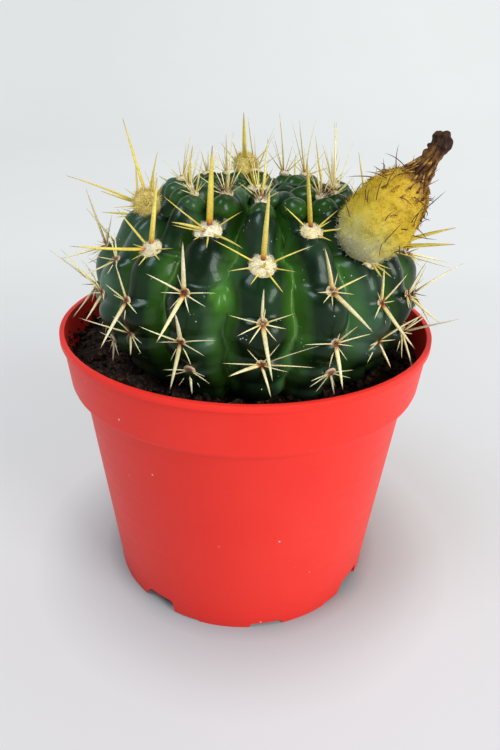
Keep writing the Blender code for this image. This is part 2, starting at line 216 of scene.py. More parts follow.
# ---------------------------------------------------------------------------------------------
# Pot: one moulding of red polypropylene with a wide band, a thin lip and a notched foot ring.
# The wall is 1.3 mm thick; the mould leaves it satin, and handling leaves scuffs and specks.

POT_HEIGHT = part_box("pot")[1][2]
RIM_RADIUS = 52.5 * MM
LIP_HEIGHT = 1.6 * MM
LIP_REACH = 0.7 * MM
BAND_DEPTH = 14.6 * MM
BAND_RADIUS = 50.7 * MM
NECK_RADIUS = 47.8 * MM
BASE_RADIUS = 41.7 * MM
POT_WALL = 1.3 * MM
FLOOR_RISE = 5.0 * MM
FOOT_WALL = 1.7 * MM
PAD_RADIUS = 13.0 * MM
PAD_SLOPE = 1.6 * MM
POT_STEPS = 192
EDGE_ROUNDING = 0.28 * MM
FOOT_TURN = 11.0
DRAIN_RADIUS = 3.5 * MM
DRAIN_CIRCLE = 27.0 * MM
HOLE_DEPTH = 6.0 * POT_WALL
NOTCH_DEPTH = 8.0 * MM
NOTCH_CLEARANCE = 3.0 * MM
# Each quarter of the foot turns on by this much from its shallow notch to the deep one and the step.
DEEP_TURN = 44.0
STEP_TURN = 45.0

ledge = POT_HEIGHT - BAND_DEPTH
lip_foot = POT_HEIGHT - LIP_HEIGHT
floor_top = FLOOR_RISE + POT_WALL
pot = drawn_line("pot_shell", [
    (0.0, POT_WALL), (PAD_RADIUS - POT_WALL, POT_WALL), (PAD_RADIUS - POT_WALL + PAD_SLOPE, floor_top),
    (BASE_RADIUS + 0.6 * MM - POT_WALL, floor_top), (NECK_RADIUS - POT_WALL, ledge + POT_WALL),
    (BAND_RADIUS - POT_WALL, ledge + POT_WALL), (RIM_RADIUS - POT_WALL - 0.2 * MM, lip_foot),
    (RIM_RADIUS - POT_WALL, POT_HEIGHT), (RIM_RADIUS, POT_HEIGHT), (RIM_RADIUS + 0.05 * MM, lip_foot),
    (RIM_RADIUS - LIP_REACH, lip_foot - 0.35 * MM), (BAND_RADIUS + 0.1 * MM, ledge + 1.0 * MM),
    (BAND_RADIUS - 0.2 * MM, ledge), (NECK_RADIUS, ledge), (BASE_RADIUS + 0.45 * MM, 6.4 * MM),
    (BASE_RADIUS + 0.25 * MM, 6.1 * MM), (BASE_RADIUS, 0.0), (BASE_RADIUS - FOOT_WALL, 0.0),
    (BASE_RADIUS - FOOT_WALL, FLOOR_RISE), (PAD_RADIUS + PAD_SLOPE, FLOOR_RISE), (PAD_RADIUS, 0.0),
    (0.0, 0.0)
])
spin_round(POT_STEPS)


def notch_block(name, turn, outline):
    """A block through the foot ring, whose side view is the notch's outline of (across, height)."""
    deselect_all()
    bpy.ops.mesh.primitive_circle_add(vertices=len(outline), radius=0.01, fill_type="NGON")
    item = bpy.context.object
    item.name = name
    for vertex, (across, height) in zip(item.data.vertices, outline):
        vertex.co = (across * MM, -BASE_RADIUS - NOTCH_CLEARANCE, height * MM)
    bpy.ops.object.mode_set(mode="EDIT")
    bpy.ops.mesh.select_all(action="SELECT")
    bpy.ops.mesh.extrude_region_move(TRANSFORM_OT_translate={"value": (0.0, NOTCH_DEPTH, 0.0)})
    bpy.ops.mesh.select_all(action="SELECT")
    bpy.ops.mesh.normals_make_consistent(inside=False)
    bpy.ops.object.mode_set(mode="OBJECT")
    item.data.transform(Matrix.Rotation(math.radians(turn), 4, "Z"))
    return item


# Outlines in millimetres, from the left foot of the notch over its roof to the right one.
DEEP_NOTCH = (
    (-6.4, -1.0), (-6.2, 0.6), (-5.4, 2.2), (-4.4, 3.6), (-3.2, 4.3), (3.6, 4.4), (4.6, 4.1), (5.1, 3.0),
    (5.2, -1.0)
)
SHALLOW_NOTCH = ((-4.9, -1.0), (-4.6, 1.1), (-3.9, 1.4), (4.1, 1.4), (4.8, 1.0), (5.1, -1.0))
FOOT_STEP = ((-12.8, -1.0), (-12.6, 0.5), (12.6, 0.5), (12.8, -1.0))

cutters = []
for foot in range(4):
    middle = FOOT_TURN + 90.0 * foot
    cutters.append(notch_block("shallow notch", middle, SHALLOW_NOTCH))
    cutters.append(notch_block("deep notch", middle + DEEP_TURN, DEEP_NOTCH))
    cutters.append(notch_block("foot step", middle + STEP_TURN, FOOT_STEP))
    angle = math.radians(middle + STEP_TURN)
    deselect_all()
    hole = (math.sin(angle) * DRAIN_CIRCLE, -math.cos(angle) * DRAIN_CIRCLE, FLOOR_RISE)
    bpy.ops.mesh.primitive_cylinder_add(vertices=32, radius=DRAIN_RADIUS, depth=HOLE_DEPTH, location=hole)
    cutters.append(bpy.context.object)
for cutter in cutters:
    deselect_all()
    pot.select_set(True)
    bpy.context.view_layer.objects.active = pot
    cut = pot.modifiers.new("cut", "BOOLEAN")
    cut.operation = "DIFFERENCE"
    cut.solver = "EXACT"
    cut.object = cutter
    bpy.ops.object.modifier_apply(modifier="cut")
    bpy.data.objects.remove(cutter, do_unlink=True)
rounding = pot.modifiers.new("moulded edges", "BEVEL")
rounding.width = EDGE_ROUNDING
rounding.segments = 2
rounding.limit_method = "ANGLE"
rounding.angle_limit = math.radians(28.0)
bpy.ops.object.modifier_apply(modifier="moulded edges")
bpy.ops.object.shade_smooth_by_angle(angle=math.radians(32.0))

# Polypropylene, injection moulded: satin, slightly translucent red, with fine scuffs round the
# band, a soft orange-peel from the mould and pale specks of dust.
pot_plastic, add, shader = new_material("red polypropylene, moulded satin")
place = add("TexCoord").outputs["Object"]
cloud = add("TexNoise", {"Vector": place, "Scale": 28.0, "Detail": 3.0})
red = add("ValToRGB", {"Fac": cloud}, stops=((0.25, "#E02C22"), (0.55, "#E43026"), (0.8, "#E8362B")))
# Dust specks about 0.5 mm across and 6 mm apart.
dust = add("TexVoronoi", {"Vector": place, "Scale": 160.0, "Randomness": 1.0})
is_dust = add("ValToRGB", {"Fac": dust}, stops=((0.030, 1.0), (0.055, 0.0)))
patchy = add("TexNoise", {"Vector": place, "Scale": 45.0, "Detail": 1.0})
dusty_here = add("ValToRGB", {"Fac": patchy}, stops=((0.52, 0.0), (0.60, 0.8)))
dust_share = add("Math", {0: is_dust, 1: dusty_here}, operation="MULTIPLY")
specked = add("Mix", {0: dust_share, 6: red, 7: paint("#F7C9C0")}, data_type="RGBA")
# Scuffs run round the pot: noise squeezed to 1 mm high and 17 mm long.
stretch = add("Mapping", {"Vector": place, "Scale": (60.0, 60.0, 900.0)})
scuffs = add("TexNoise", {"Vector": stretch, "Scale": 1.0, "Detail": 4.0})
satin = add("MapRange", {
    "Value": scuffs, "From Min": 0.35, "From Max": 0.7, "To Min": 0.41, "To Max": 0.47
})
peel = add("TexNoise", {"Vector": place, "Scale": 420.0, "Detail": 2.0})
relief = add("Bump", {"Height": peel, "Strength": 0.06, "Distance": 0.0004})
feed(shader, {
    "Base Color": specked, "Roughness": satin, "Normal": relief, "IOR": 1.49, "Specular IOR Level": 0.16
})
pot.data.materials.append(pot_plastic)
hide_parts("pot")
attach(pot, "root")

# ---------------------------------------------------------------------------------------------
# Peat: the pot is filled with dark peat mix to 9.5 mm under the rim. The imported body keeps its
# shape and gets the peat's finish; a rough crust and loose crumbs lie on its top.

SOIL_DROP = 9.5 * MM
SOIL_TOP = POT_HEIGHT - SOIL_DROP
CRUST_FOOT = SOIL_TOP - 2.2 * MM
CRUST_RADIUS = 50.1 * MM
CRUST_HOLE = 30.0 * MM
CRUST_STEPS = 220
CRUST_RINGS = 26
CRUMB_COUNT = 1300
CRUMB_REACH = (33.0 * MM, 49.4 * MM)
WALL_CRUMB_COUNT = 110
SOIL_EDGE = 50.0 * MM
WALL_SLOPE = 0.12

rng = np.random.default_rng(7)


def soft_noise(points, size, seed):
    """Smooth noise from -1 to 1 over points in metres, with lumps of about that size."""
    dice = np.random.default_rng(seed)
    total = np.zeros(len(points))
    for _ in range(7):
        way = dice.normal(size=3)
        way *= 2.0 * math.pi / (size * np.linalg.norm(way)) * dice.uniform(0.6, 1.4)
        total += np.sin(points @ way + dice.uniform(0.0, 2.0 * math.pi))
    return total / 3.5


def mesh_points(item):
    points = np.empty(len(item.data.vertices) * 3)
    item.data.vertices.foreach_get("co", points)
    return points.reshape(-1, 3)


def set_mesh_points(item, points):
    item.data.vertices.foreach_set("co", points.ravel())
    item.data.update()


crust_line = [(CRUST_HOLE, CRUST_FOOT)]
for ring in range(CRUST_RINGS + 1):
    share = ring / CRUST_RINGS
    crust_line.append((CRUST_HOLE + (CRUST_RADIUS - CRUST_HOLE) * share, SOIL_TOP))
crust_line += [(CRUST_RADIUS, SOIL_TOP - 1.2 * MM), (CRUST_HOLE, CRUST_FOOT)]
crust = drawn_line("soil_crust", crust_line)
spin_round(CRUST_STEPS)
points = mesh_points(crust)
on_top = points[:, 2] > SOIL_TOP - 0.5 * MM
radius = np.hypot(points[:, 0], points[:, 1])
lumps = soft_noise(points, 9.0 * MM, 1) * 0.7 + soft_noise(points, 4.0 * MM, 2) * 0.5
lumps += np.abs(soft_noise(points, 1.8 * MM, 3)) * 0.5 + soft_noise(points, 0.9 * MM, 4) * 0.22
edge = np.clip((CRUST_RADIUS - radius) / (2.0 * MM), 0.0, 1.0)
points[:, 2] += np.where(on_top, (0.4 + lumps * 0.8 * edge) * MM, 0.0)
set_mesh_points(crust, points)
bpy.ops.object.shade_smooth()

# Peat with bark and grit: near black when moist, brown where it has dried, quite matt.
peat, add, shader = new_material("peat, moist and crumbly")
place = add("TexCoord").outputs["Object"]
grains = add("TexNoise", {"Vector": place, "Scale": 900.0, "Detail": 5.0})
bits = add("TexVoronoi", {"Vector": place, "Scale": 520.0})
dark = add("ValToRGB", {"Fac": grains}, stops=((0.35, "#0B0604"), (0.55, "#26160D"), (0.72, "#5C3B22")))
bit_share = add("ValToRGB", {"Fac": bits}, stops=((0.05, 0.8), (0.16, 0.0)))
peat_colour = add("Mix", {0: bit_share, 6: dark, 7: paint("#7C5836")}, data_type="RGBA")
rough = add("Bump", {"Height": grains, "Strength": 0.7, "Distance": 0.0006})
feed(shader, {"Base Color": peat_colour, "Normal": rough, "Roughness": 0.88, "Specular IOR Level": 0.25})
crust.data.materials.append(peat)
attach(crust, "root")
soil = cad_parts["soil"]
soil.data.materials.clear()
soil.data.materials.append(peat)


def take_blank():
    """Points and faces of the shape just made, which is then taken away."""
    item = bpy.context.object
    points = mesh_points(item)
    faces = [list(face.vertices) for face in item.data.polygons]
    bpy.data.objects.remove(item, do_unlink=True)
    return points, faces


def join_mesh(name, points, faces, materials, numbers=None):
    """One mesh object from an array of points and a list of faces, with point attributes by name."""
    mesh = bpy.data.meshes.new(name)
    mesh.from_pydata(points.tolist(), [], faces)
    for key, values in (numbers or {}).items():
        mesh.attributes.new(key, "FLOAT", "POINT").data.foreach_set("value", values)
    for finish in materials:
        mesh.materials.append(finish)
    item = bpy.data.objects.new(name, mesh)
    bpy.context.scene.collection.objects.link(item)
    return item


deselect_all()
bpy.ops.mesh.primitive_ico_sphere_add(subdivisions=1, radius=1.0)
CRUMB_POINTS, CRUMB_FACES = take_blank()


def scatter_crumbs(places, sizes, dice):
    """Copies of the crumb blank, each turned and squeezed its own way."""
    points, faces = [], []
    for number, (spot, size) in enumerate(zip(places, sizes)):
        turn = Matrix.Rotation(dice.uniform(0.0, 6.28), 3, Vector(dice.normal(size=3)))
        shape = CRUMB_POINTS * dice.uniform(0.5, 1.2, size=3)
        shape = shape * dice.uniform(0.75, 1.25, (len(CRUMB_POINTS), 1))
        points.append(shape @ np.array(turn) * size + spot)
        faces += [[corner + number * len(CRUMB_POINTS) for corner in face] for face in CRUMB_FACES]
    return np.vstack(points), faces


angles = rng.uniform(0.0, 2.0 * math.pi, CRUMB_COUNT)
radii = np.sqrt(rng.uniform(CRUMB_REACH[0] ** 2, CRUMB_REACH[1] ** 2, CRUMB_COUNT))
sizes = rng.choice((0.4, 0.6, 1.0, 1.6), CRUMB_COUNT, p=(0.38, 0.34, 0.2, 0.08)) * MM
heights = SOIL_TOP + sizes * 0.5 + rng.uniform(0.2, 0.9, CRUMB_COUNT) * MM
spots = np.stack([np.sin(angles) * radii, -np.cos(angles) * radii, heights], axis=1)
# A few crumbs cling to the wall above the peat where watering has splashed them.
clinging = rng.uniform(math.radians(150.0), math.radians(215.0), WALL_CRUMB_COUNT)
above = rng.beta(1.0, 2.2, WALL_CRUMB_COUNT) * 8.0 * MM
wall_reach = SOIL_EDGE + above * WALL_SLOPE - 0.25 * MM
wall_spots = np.stack(
    [np.cos(clinging) * wall_reach, np.sin(clinging) * wall_reach, SOIL_TOP + above], axis=1
)
wall_sizes = rng.choice((0.4, 0.7, 1.1), WALL_CRUMB_COUNT, p=(0.5, 0.35, 0.15)) * MM
spots, sizes = np.vstack([spots, wall_spots]), np.concatenate([sizes, wall_sizes])
crumbs = join_mesh("soil_crumbs", *scatter_crumbs(spots, sizes, rng), (peat,))
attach(crumbs, "root")

# ---------------------------------------------------------------------------------------------
# Stem: the round green body, 16 broad ribs, each a chain of low chins with an areole on top of
# each one. The skin is thick and waxy, with brighter young skin in the furrows.

STEM_CENTRE = np.array((2.4, 0.0, 92.0)) * MM
STEM_RADIUS = 44.0 * MM
STEM_TOP_HALF = 25.5 * MM
STEM_BURIED_HALF = 32.0 * MM
CROWN_DIP = 3.5 * MM
CROWN_SHARE = 0.3
FURROW_DEPTH = 5.6 * MM
CHIN_HEIGHT = 1.1 * MM
KNOB_HEIGHT = 3.9 * MM
CROWN_LIFT = 2.2 * MM
RIB_COUNT = 16
ROW_STEP = 26.0
LOW_ROW_SHARE = 0.6
STEM_SEGMENTS = 400
STEM_RINGS = 200
# From these latitudes the ribs break up into knobs and the shoulder lifts, over so many degrees.
KNOBBY_FROM, KNOBBY_OVER = 30.0, 26.0
SHOULDER_FROM, SHOULDER_OVER = 38.0, 25.0
# Ribs by their azimuth from the front in degrees, positive to the right.
RIB_AZIMUTHS = np.array((
    2.0, 24.0, 43.5, 59.0, 84.0, 111.0, 137.0, 159.5, 182.0, 204.5, 227.0, 251.5, 276.0, 300.0, 316.5, 338.0
))
# Latitude of each rib's top areole; a rib that starts lower than LOW_TOP has a row fewer.
LOW_TOP = 40.0
TOP_ROWS = np.array(
    (36.0, 49.0, 36.0, 36.0, 49.0, 36.0, 49.0, 36.0) + (49.0, 36.0, 49.0, 36.0, 49.0, 50.0, 36.0, 48.0)
)


# Height of a chin down from one areole (0) to the next (1): it swells under the areole it
# carries and is pinched just above the next one.
CHIN_LINE = (
    (0.0, 0.35), (0.1, 0.75), (0.28, 1.0), (0.5, 0.6), (0.7, -0.1), (0.84, -0.7), (0.93, -0.8), (1.0, 0.2)
)
chin_steps = np.linspace(0.0, 1.0, 121)[:-1]
chin_heights = np.interp(chin_steps, *zip(*CHIN_LINE))
for _ in range(60):
    chin_heights = (np.roll(chin_heights, 1) + 2.0 * chin_heights + np.roll(chin_heights, -1)) / 4.0


def chin(rows):
    """Height of the chin, -1 to 1, at a number of rows below the top areole."""
    return chin_heights[(np.mod(rows, 1.0) * len(chin_steps)).astype(int) % len(chin_steps)]


def skin(azimuth, latitude):
    """Points on the skin for arrays of degrees, and how deep in a furrow each one lies."""
    azimuth, latitude = np.asarray(azimuth, float), np.asarray(latitude, float)
    ring, rise = np.cos(np.radians(latitude)), np.sin(np.radians(latitude))
    high = np.clip((latitude - KNOBBY_FROM) / KNOBBY_OVER, 0.0, 1.0)
    even = np.where(latitude > 0.0, latitude, latitude / LOW_ROW_SHARE)
    swells = chin((TOP_ROWS[None, :] - even[:, None]) / ROW_STEP)
    away = np.abs(np.mod(azimuth[:, None] - RIB_AZIMUTHS[None, :] + 180.0, 360.0) - 180.0)
    # A rib is wider where its chin swells, so the furrows between the ribs wander.
    away = away / (1.0 + (0.07 + 0.20 * high)[:, None] * swells)
    order = np.argsort(away, axis=1)[:, :2]
    line = np.arange(len(azimuth))
    near, next_near = away[line, order[:, 0]], away[line, order[:, 1]]
    spread = 2.0 * near / (near + next_near)
    tall = CHIN_HEIGHT + (KNOB_HEIGHT - CHIN_HEIGHT) * high
    swell = tall * swells[line, order[:, 0]] * (1.0 - spread**2) * np.sqrt(ring)
    furrow = FURROW_DEPTH * spread ** (2.4 - 0.5 * high) * np.minimum(1.0, ring * 1.6)
    radius = STEM_RADIUS * ring + swell * ring - furrow * ring
    half = np.where(latitude > 0.0, STEM_TOP_HALF, STEM_BURIED_HALF)
    dip = np.where(latitude > 0.0, CROWN_DIP * np.exp(-((ring / CROWN_SHARE) ** 2)), 0.0)
    shoulder = np.clip((latitude - SHOULDER_FROM) / SHOULDER_OVER, 0.0, 1.0)
    lift = CROWN_LIFT * shoulder**2 * (3.0 - 2.0 * shoulder)
    height = half * rise + swell * rise + lift - dip - furrow * 0.95 * high
    angle = np.radians(azimuth)
    points = np.stack([np.sin(angle) * radius, -np.cos(angle) * radius, height], axis=1)
    return points + STEM_CENTRE, spread


# A two-lobed offset starts to bulge in the furrow left of the front rib, 4 mm wide and 11 mm high.
SPROUT_PLACE = (-10.5, 17.0)
SPROUT_SPREAD = (2.7, 7.5)
SPROUT_HEIGHT = 2.3 * MM

deselect_all()
bpy.ops.mesh.primitive_uv_sphere_add(segments=STEM_SEGMENTS, ring_count=STEM_RINGS, radius=1.0)
stem = bpy.context.object
stem.name = "stem_body"
ball = mesh_points(stem)
azimuths = np.degrees(np.arctan2(ball[:, 0], -ball[:, 1]))
latitudes = np.degrees(np.arcsin(np.clip(ball[:, 2], -1.0, 1.0)))
points, spread = skin(azimuths, latitudes)
across = (azimuths - SPROUT_PLACE[0]) / SPROUT_SPREAD[0]
along = (latitudes - SPROUT_PLACE[1]) / SPROUT_SPREAD[1]
second_across = (azimuths - SPROUT_PLACE[0] + 2.6) / (0.75 * SPROUT_SPREAD[0])
second_along = (latitudes - SPROUT_PLACE[1] - 3.5) / (0.5 * SPROUT_SPREAD[1])
sprout = np.exp(-((across**2 + along**2) ** 1.7))
sprout = np.maximum(sprout, 0.7 * np.exp(-((second_across**2 + second_along**2) ** 1.8)))
outward = ball / np.linalg.norm(ball, axis=1)[:, None]
wobble = soft_noise(points, 11.0 * MM, 11) * 0.22 * MM + soft_noise(points, 4.0 * MM, 12) * 0.05 * MM
points += outward * (sprout * SPROUT_HEIGHT + wobble)[:, None]
set_mesh_points(stem, points)
for name, values in (("furrow", spread), ("sprout", sprout)):
    stem.data.attributes.new(name, "FLOAT", "POINT").data.foreach_set("value", values)
bpy.ops.object.shade_smooth()

# Living skin: dark blue-green and waxy under patches of painted sheen, fresh green down in the
# furrows with a pale line at the very bottom, and a scatter of dust and lime specks.
stem_skin, add, shader = new_material("cactus skin, waxed")
place = add("TexCoord").outputs["Object"]
depth = add("Attribute", attribute_name="furrow").outputs["Fac"]
young = add("Attribute", attribute_name="sprout").outputs["Fac"]
clouds = add("TexNoise", {"Vector": place, "Scale": 70.0, "Detail": 4.0})
old_skin = add("ValToRGB", {"Fac": clouds}, stops=((0.28, "#071208"), (0.5, "#0D1F0C"), (0.75, "#183417")))
wavy = add("Math", {0: clouds, 1: 0.22, 2: -0.11}, operation="MULTIPLY_ADD")
wavy_depth = add("Math", {0: depth, 1: wavy}, operation="ADD")
fresh = add("ValToRGB", {"Fac": wavy_depth}, stops=((0.52, 0.0), (0.78, 0.6), (0.95, 1.0)))
greener = add("Mix", {0: fresh, 6: old_skin, 7: paint("#38621C")}, data_type="RGBA")
valley = add("ValToRGB", {"Fac": wavy_depth}, stops=((0.95, 0.0), (1.0, 0.6)))
lined = add("Mix", {0: valley, 6: greener, 7: paint("#7A9C4C")}, data_type="RGBA")
sprouted = add("Mix", {0: young, 6: lined, 7: paint("#3C6C1E")}, data_type="RGBA")
patches = add("TexNoise", {"Vector": place, "Scale": 38.0, "Detail": 2.0})
# Painted sheen: pale blue-green patches where this noise is high stand for the window's reflections.
painted_sheen = add("ValToRGB", {"Fac": patches}, stops=((0.50, 0.0), (0.60, 0.16), (0.72, 0.50)))
painted_sheen_skin = add("Mix", {0: painted_sheen, 6: sprouted, 7: paint("#739C7E")}, data_type="RGBA")
# Specks 0.3 mm across in loose groups; drawn coarser than life so that they show.
specks = add("TexVoronoi", {"Vector": place, "Scale": 800.0})
is_speck = add("ValToRGB", {"Fac": specks}, stops=((0.09, 1.0), (0.15, 0.0)))
grouped = add("TexNoise", {"Vector": place, "Scale": 210.0, "Detail": 2.0})
in_group = add("ValToRGB", {"Fac": grouped}, stops=((0.56, 0.0), (0.64, 0.75)))
speck_share = add("Math", {0: is_speck, 1: in_group}, operation="MULTIPLY")
skin_colour = add("Mix", {0: speck_share, 6: painted_sheen_skin, 7: paint("#C9D8C4")}, data_type="RGBA")
wax = add("MapRange", {"Value": patches, "From Min": 0.3, "From Max": 0.7, "To Min": 0.27, "To Max": 0.40})
pores = add("TexNoise", {"Vector": place, "Scale": 700.0, "Detail": 3.0})
skin_relief = add("Bump", {"Height": pores, "Strength": 0.16, "Distance": 0.0004})
feed(shader, {
    "Base Color": skin_colour, "Roughness": wax, "Normal": skin_relief, "IOR": 1.45,
    "Specular IOR Level": 0.22, "Specular Tint": paint("#CDEBD6"), "Coat Weight": 0.13,
    "Coat Roughness": 0.12
})
stem.data.materials.append(stem_skin)
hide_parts("cactus_stem")
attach(stem, "root")

# ---------------------------------------------------------------------------------------------
# Crown knobs: towards the growing tip the ribs break up into separate glossy domes, 7 mm across
# at the rim of the crown and smaller towards its middle.

# Rings of knobs: (distance from the axis mm, number of knobs, first azimuth, radius mm).
KNOB_RINGS = ((14.2, 9, 12.0, 3.5), (7.6, 6, 40.0, 2.6))
RIM_KNOB_RADIUS = 3.7 * MM
# The rim's knobs stand this far from the axis: on the ribs that start low, and on the others.
LOW_RIM_REACH = 22.8 * MM
HIGH_RIM_REACH = 20.6 * MM
KNOB_RISE = -0.9 * MM


def ball_blank(segments, rings):
    """Points and faces of a ball of radius 1."""
    deselect_all()
    bpy.ops.mesh.primitive_uv_sphere_add(segments=segments, ring_count=rings, radius=1.0)
    return take_blank()


KNOB_POINTS, KNOB_FACES = ball_blank(32, 20)
knob_dice = np.random.default_rng(70)
knob_seats = []
for rib in range(RIB_COUNT):
    reach = LOW_RIM_REACH if TOP_ROWS[rib] < LOW_TOP else HIGH_RIM_REACH
    knob_seats.append((RIB_AZIMUTHS[rib], reach, RIM_KNOB_RADIUS))
for reach, count, first, radius in KNOB_RINGS:
    for number in range(count):
        turned = first + 360.0 * number / count + knob_dice.uniform(-7, 7)
        knob_seats.append((turned, (reach + knob_dice.uniform(-0.8, 0.8)) * MM, radius * MM))
knob_points, knob_polygons, knob_depths, knob_tops = [], [], [], []
for number, (azimuth, reach, radius) in enumerate(knob_seats):
    latitude = math.degrees(math.acos(reach / STEM_RADIUS))
    top = STEM_TOP_HALF * math.sin(math.radians(latitude)) + CROWN_LIFT
    top -= CROWN_DIP * math.exp(-((reach / STEM_RADIUS / CROWN_SHARE) ** 2))
    angle = math.radians(azimuth)
    outward = np.array((math.sin(angle), -math.cos(angle), 0.0))
    side = np.array((math.cos(angle), math.sin(angle), 0.0))
    centre = STEM_CENTRE + outward * reach + np.array((0.0, 0.0, top + KNOB_RISE))
    uneven = 1.0 + 0.05 * soft_noise(KNOB_POINTS, 1.3, 700 + number)[:, None]
    shape = KNOB_POINTS * uneven * radius * knob_dice.uniform(0.92, 1.06)
    # Each dome is a little longer down its rib and leans outwards.
    lean = 0.25 * reach / (22.0 * MM)
    points = centre + side * shape[:, 0:1] * 0.92 + outward * (shape[:, 1:2] * 1.12 + lean * shape[:, 2:3])
    points = points + np.array((0.0, 0.0, 1.0)) * (shape[:, 2:3] * 0.92 - lean * 0.3 * shape[:, 1:2])
    knob_tops.append(centre + outward * (lean - 0.45) * radius + np.array((0.0, 0.0, 0.86)) * radius)
    knob_polygons += [[corner + number * len(KNOB_POINTS) for corner in face] for face in KNOB_FACES]
    knob_points.append(points)
    knob_depths.append(0.76 - 0.14 * KNOB_POINTS[:, 2])
knob_numbers = {"furrow": np.concatenate(knob_depths)}
knobs = join_mesh("crown_knobs", np.vstack(knob_points), knob_polygons, (stem_skin,), knob_numbers)
knobs.data.shade_smooth()
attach(knobs, "root")

# ---------------------------------------------------------------------------------------------
# Areoles: each chin carries a felted cushion with stout central spines, one up and one down,
# and a fan of thinner ones round it. New cushions are woolly with yellow spines; old are bare.

STRAND_RINGS = (0.0, 0.1, 0.25, 0.45, 0.65, 0.85, 1.0)


def strand_blank(sides, cuts):
    """A cylinder of height 1 cut across at the given shares, as arrays of points and faces."""
    deselect_all()
    bpy.ops.mesh.primitive_cylinder_add(vertices=sides, radius=1.0, depth=1.0, location=(0.0, 0.0, 0.5))
    bpy.ops.object.transform_apply(location=True, rotation=False, scale=False)
    bpy.ops.object.mode_set(mode="EDIT")
    for height in cuts:
        bpy.ops.mesh.select_all(action="SELECT")
        bpy.ops.mesh.bisect(plane_co=(0.0, 0.0, height), plane_no=(0.0, 0.0, 1.0))
    bpy.ops.object.mode_set(mode="OBJECT")
    return take_blank()


SPINE_BLANK = strand_blank(8, STRAND_RINGS[1:-1])
HAIR_BLANK = strand_blank(3, (0.5,))


class Bundle:
    """Spines, wool and hairs gathered for one piece."""

    def __init__(self):
        self.points, self.faces, self.slots = [], [], []
        self.numbers = {"along": [], "age": [], "tint": []}
        self.count = 0

    def add(self, points, faces, slot, along, age, tint):
        self.faces += [[corner + self.count for corner in face] for face in faces]
        self.slots += [slot] * len(faces)
        self.points.append(points)
        self.count += len(points)
        for key, value in (("along", along), ("age", age), ("tint", tint)):
            self.numbers[key].append(np.broadcast_to(np.asarray(value, float), (len(points),)))

    def strand(self, blank, start, way, length, width, flat=1.0, bow=(0.0, 0.0), slot=0, age=0.0, tint=0.5):
        """A tapering strand from start along way; bow bends it sideways by shares of its length."""
        shape, faces = blank
        way = np.asarray(way) / np.linalg.norm(way)
        side = np.cross(way, (0.0, 0.0, 1.0))
        side /= max(np.linalg.norm(side), 1e-6)
        over = np.cross(side, way)
        share = shape[:, 2]
        taper = (1.0 - share**1.9) ** 0.8 * (0.86 + 0.14 * np.minimum(1.0, share / 0.12)) + 0.05
        arch = 4.0 * share * (1.0 - share)
        points = np.asarray(start) + way * (share * length)[:, None]
        points = points + side * (shape[:, 0] * taper * width / 2.0 + bow[0] * length * arch)[:, None]
        points = points + over * (shape[:, 1] * taper * width * flat / 2.0 + bow[1] * length * arch)[
            :, None
        ]
        self.add(points, faces, slot, share, age, tint)

    def make(self, name, materials):
        numbers = {key: np.concatenate(values) for key, values in self.numbers.items()}
        item = join_mesh(name, np.vstack(self.points), self.faces, materials, numbers)
        item.data.polygons.foreach_set("material_index", self.slots)
        item.data.shade_smooth()
        return item


def areole_seat(azimuth, latitude):
    """Point on the skin with its sideways, upward and outward directions."""
    point = skin([azimuth], [latitude])[0][0]
    lat, az = math.radians(latitude), math.radians(azimuth)
    half = STEM_TOP_HALF if latitude > 0.0 else STEM_BURIED_HALF
    outward = np.array((
        math.sin(az) * math.cos(lat) / STEM_RADIUS, -math.cos(az) * math.cos(lat) / STEM_RADIUS,
        math.sin(lat) / half
    ))
    outward /= np.linalg.norm(outward)
    side = np.cross((0.0, 0.0, 1.0), outward)
    side /= np.linalg.norm(side)
    return point, side, np.cross(outward, side), outward


def towards(seat, turn, rise):
    _, side, up, outward = seat
    turn, rise = math.radians(turn), math.radians(rise)
    along = up * math.cos(turn) + side * math.sin(turn)
    return along * math.cos(rise) + outward * math.sin(rise)


PAD_POINTS, PAD_FACES = ball_blank(24, 14)
HAIR_WIDTH = 0.08 * MM
SPINE_FLATNESS = 0.7


def add_cushion(bundle, seat, radius, height, wool, dice, stretch=1.0):
    """The felted cushion; wool from 0 to 1 sets how many hairs stand on it and how pale it is."""
    point, side, up, outward = seat
    lumpy = 1.0 + 0.035 * soft_noise(PAD_POINTS, 1.1, int(dice.integers(1, 9999)))[:, None]
    shape = PAD_POINTS * lumpy
    spread = np.hypot(PAD_POINTS[:, 0], PAD_POINTS[:, 1])
    # A bare cushion has a raised pale rim round a sunken dark middle.
    sink = (1.0 - wool) * 0.5 * np.exp(-((spread / 0.55) ** 2)) * (shape[:, 2] > 0.0)
    points = point + side * (shape[:, 0:1] * radius) + up * (shape[:, 1:2] * radius * stretch)
    points = points + outward * ((shape[:, 2] - sink) * height)[:, None]
    bundle.add(points, PAD_FACES, 1, spread, 1.0 - wool, dice.uniform())
    for _ in range(int(30 + 520 * wool * (radius / (3.0 * MM)) ** 2)):
        turn, reach = dice.uniform(0.0, 360.0), math.sqrt(dice.uniform(0.0, 1.0))
        lean = 15.0 + 65.0 * (1.0 - reach) + dice.uniform(-30.0, 30.0)
        across = side * math.sin(math.radians(turn)) + up * math.cos(math.radians(turn)) * stretch
        dome = math.sqrt(max(0.0, 1.0 - reach**2))
        root = point + across * radius * reach * 0.92 + outward * height * dome * 0.8
        way = towards(seat, turn + dice.uniform(-35.0, 35.0), lean)
        length = radius * dice.uniform(0.16, 0.36) * (0.6 + 0.4 * wool)
        bend = tuple(dice.uniform(-0.16, 0.16, size=2))
        bundle.strand(
            HAIR_BLANK, root, way, length, HAIR_WIDTH, bow=bend, slot=1, age=1.0 - wool, tint=dice.uniform()
        )


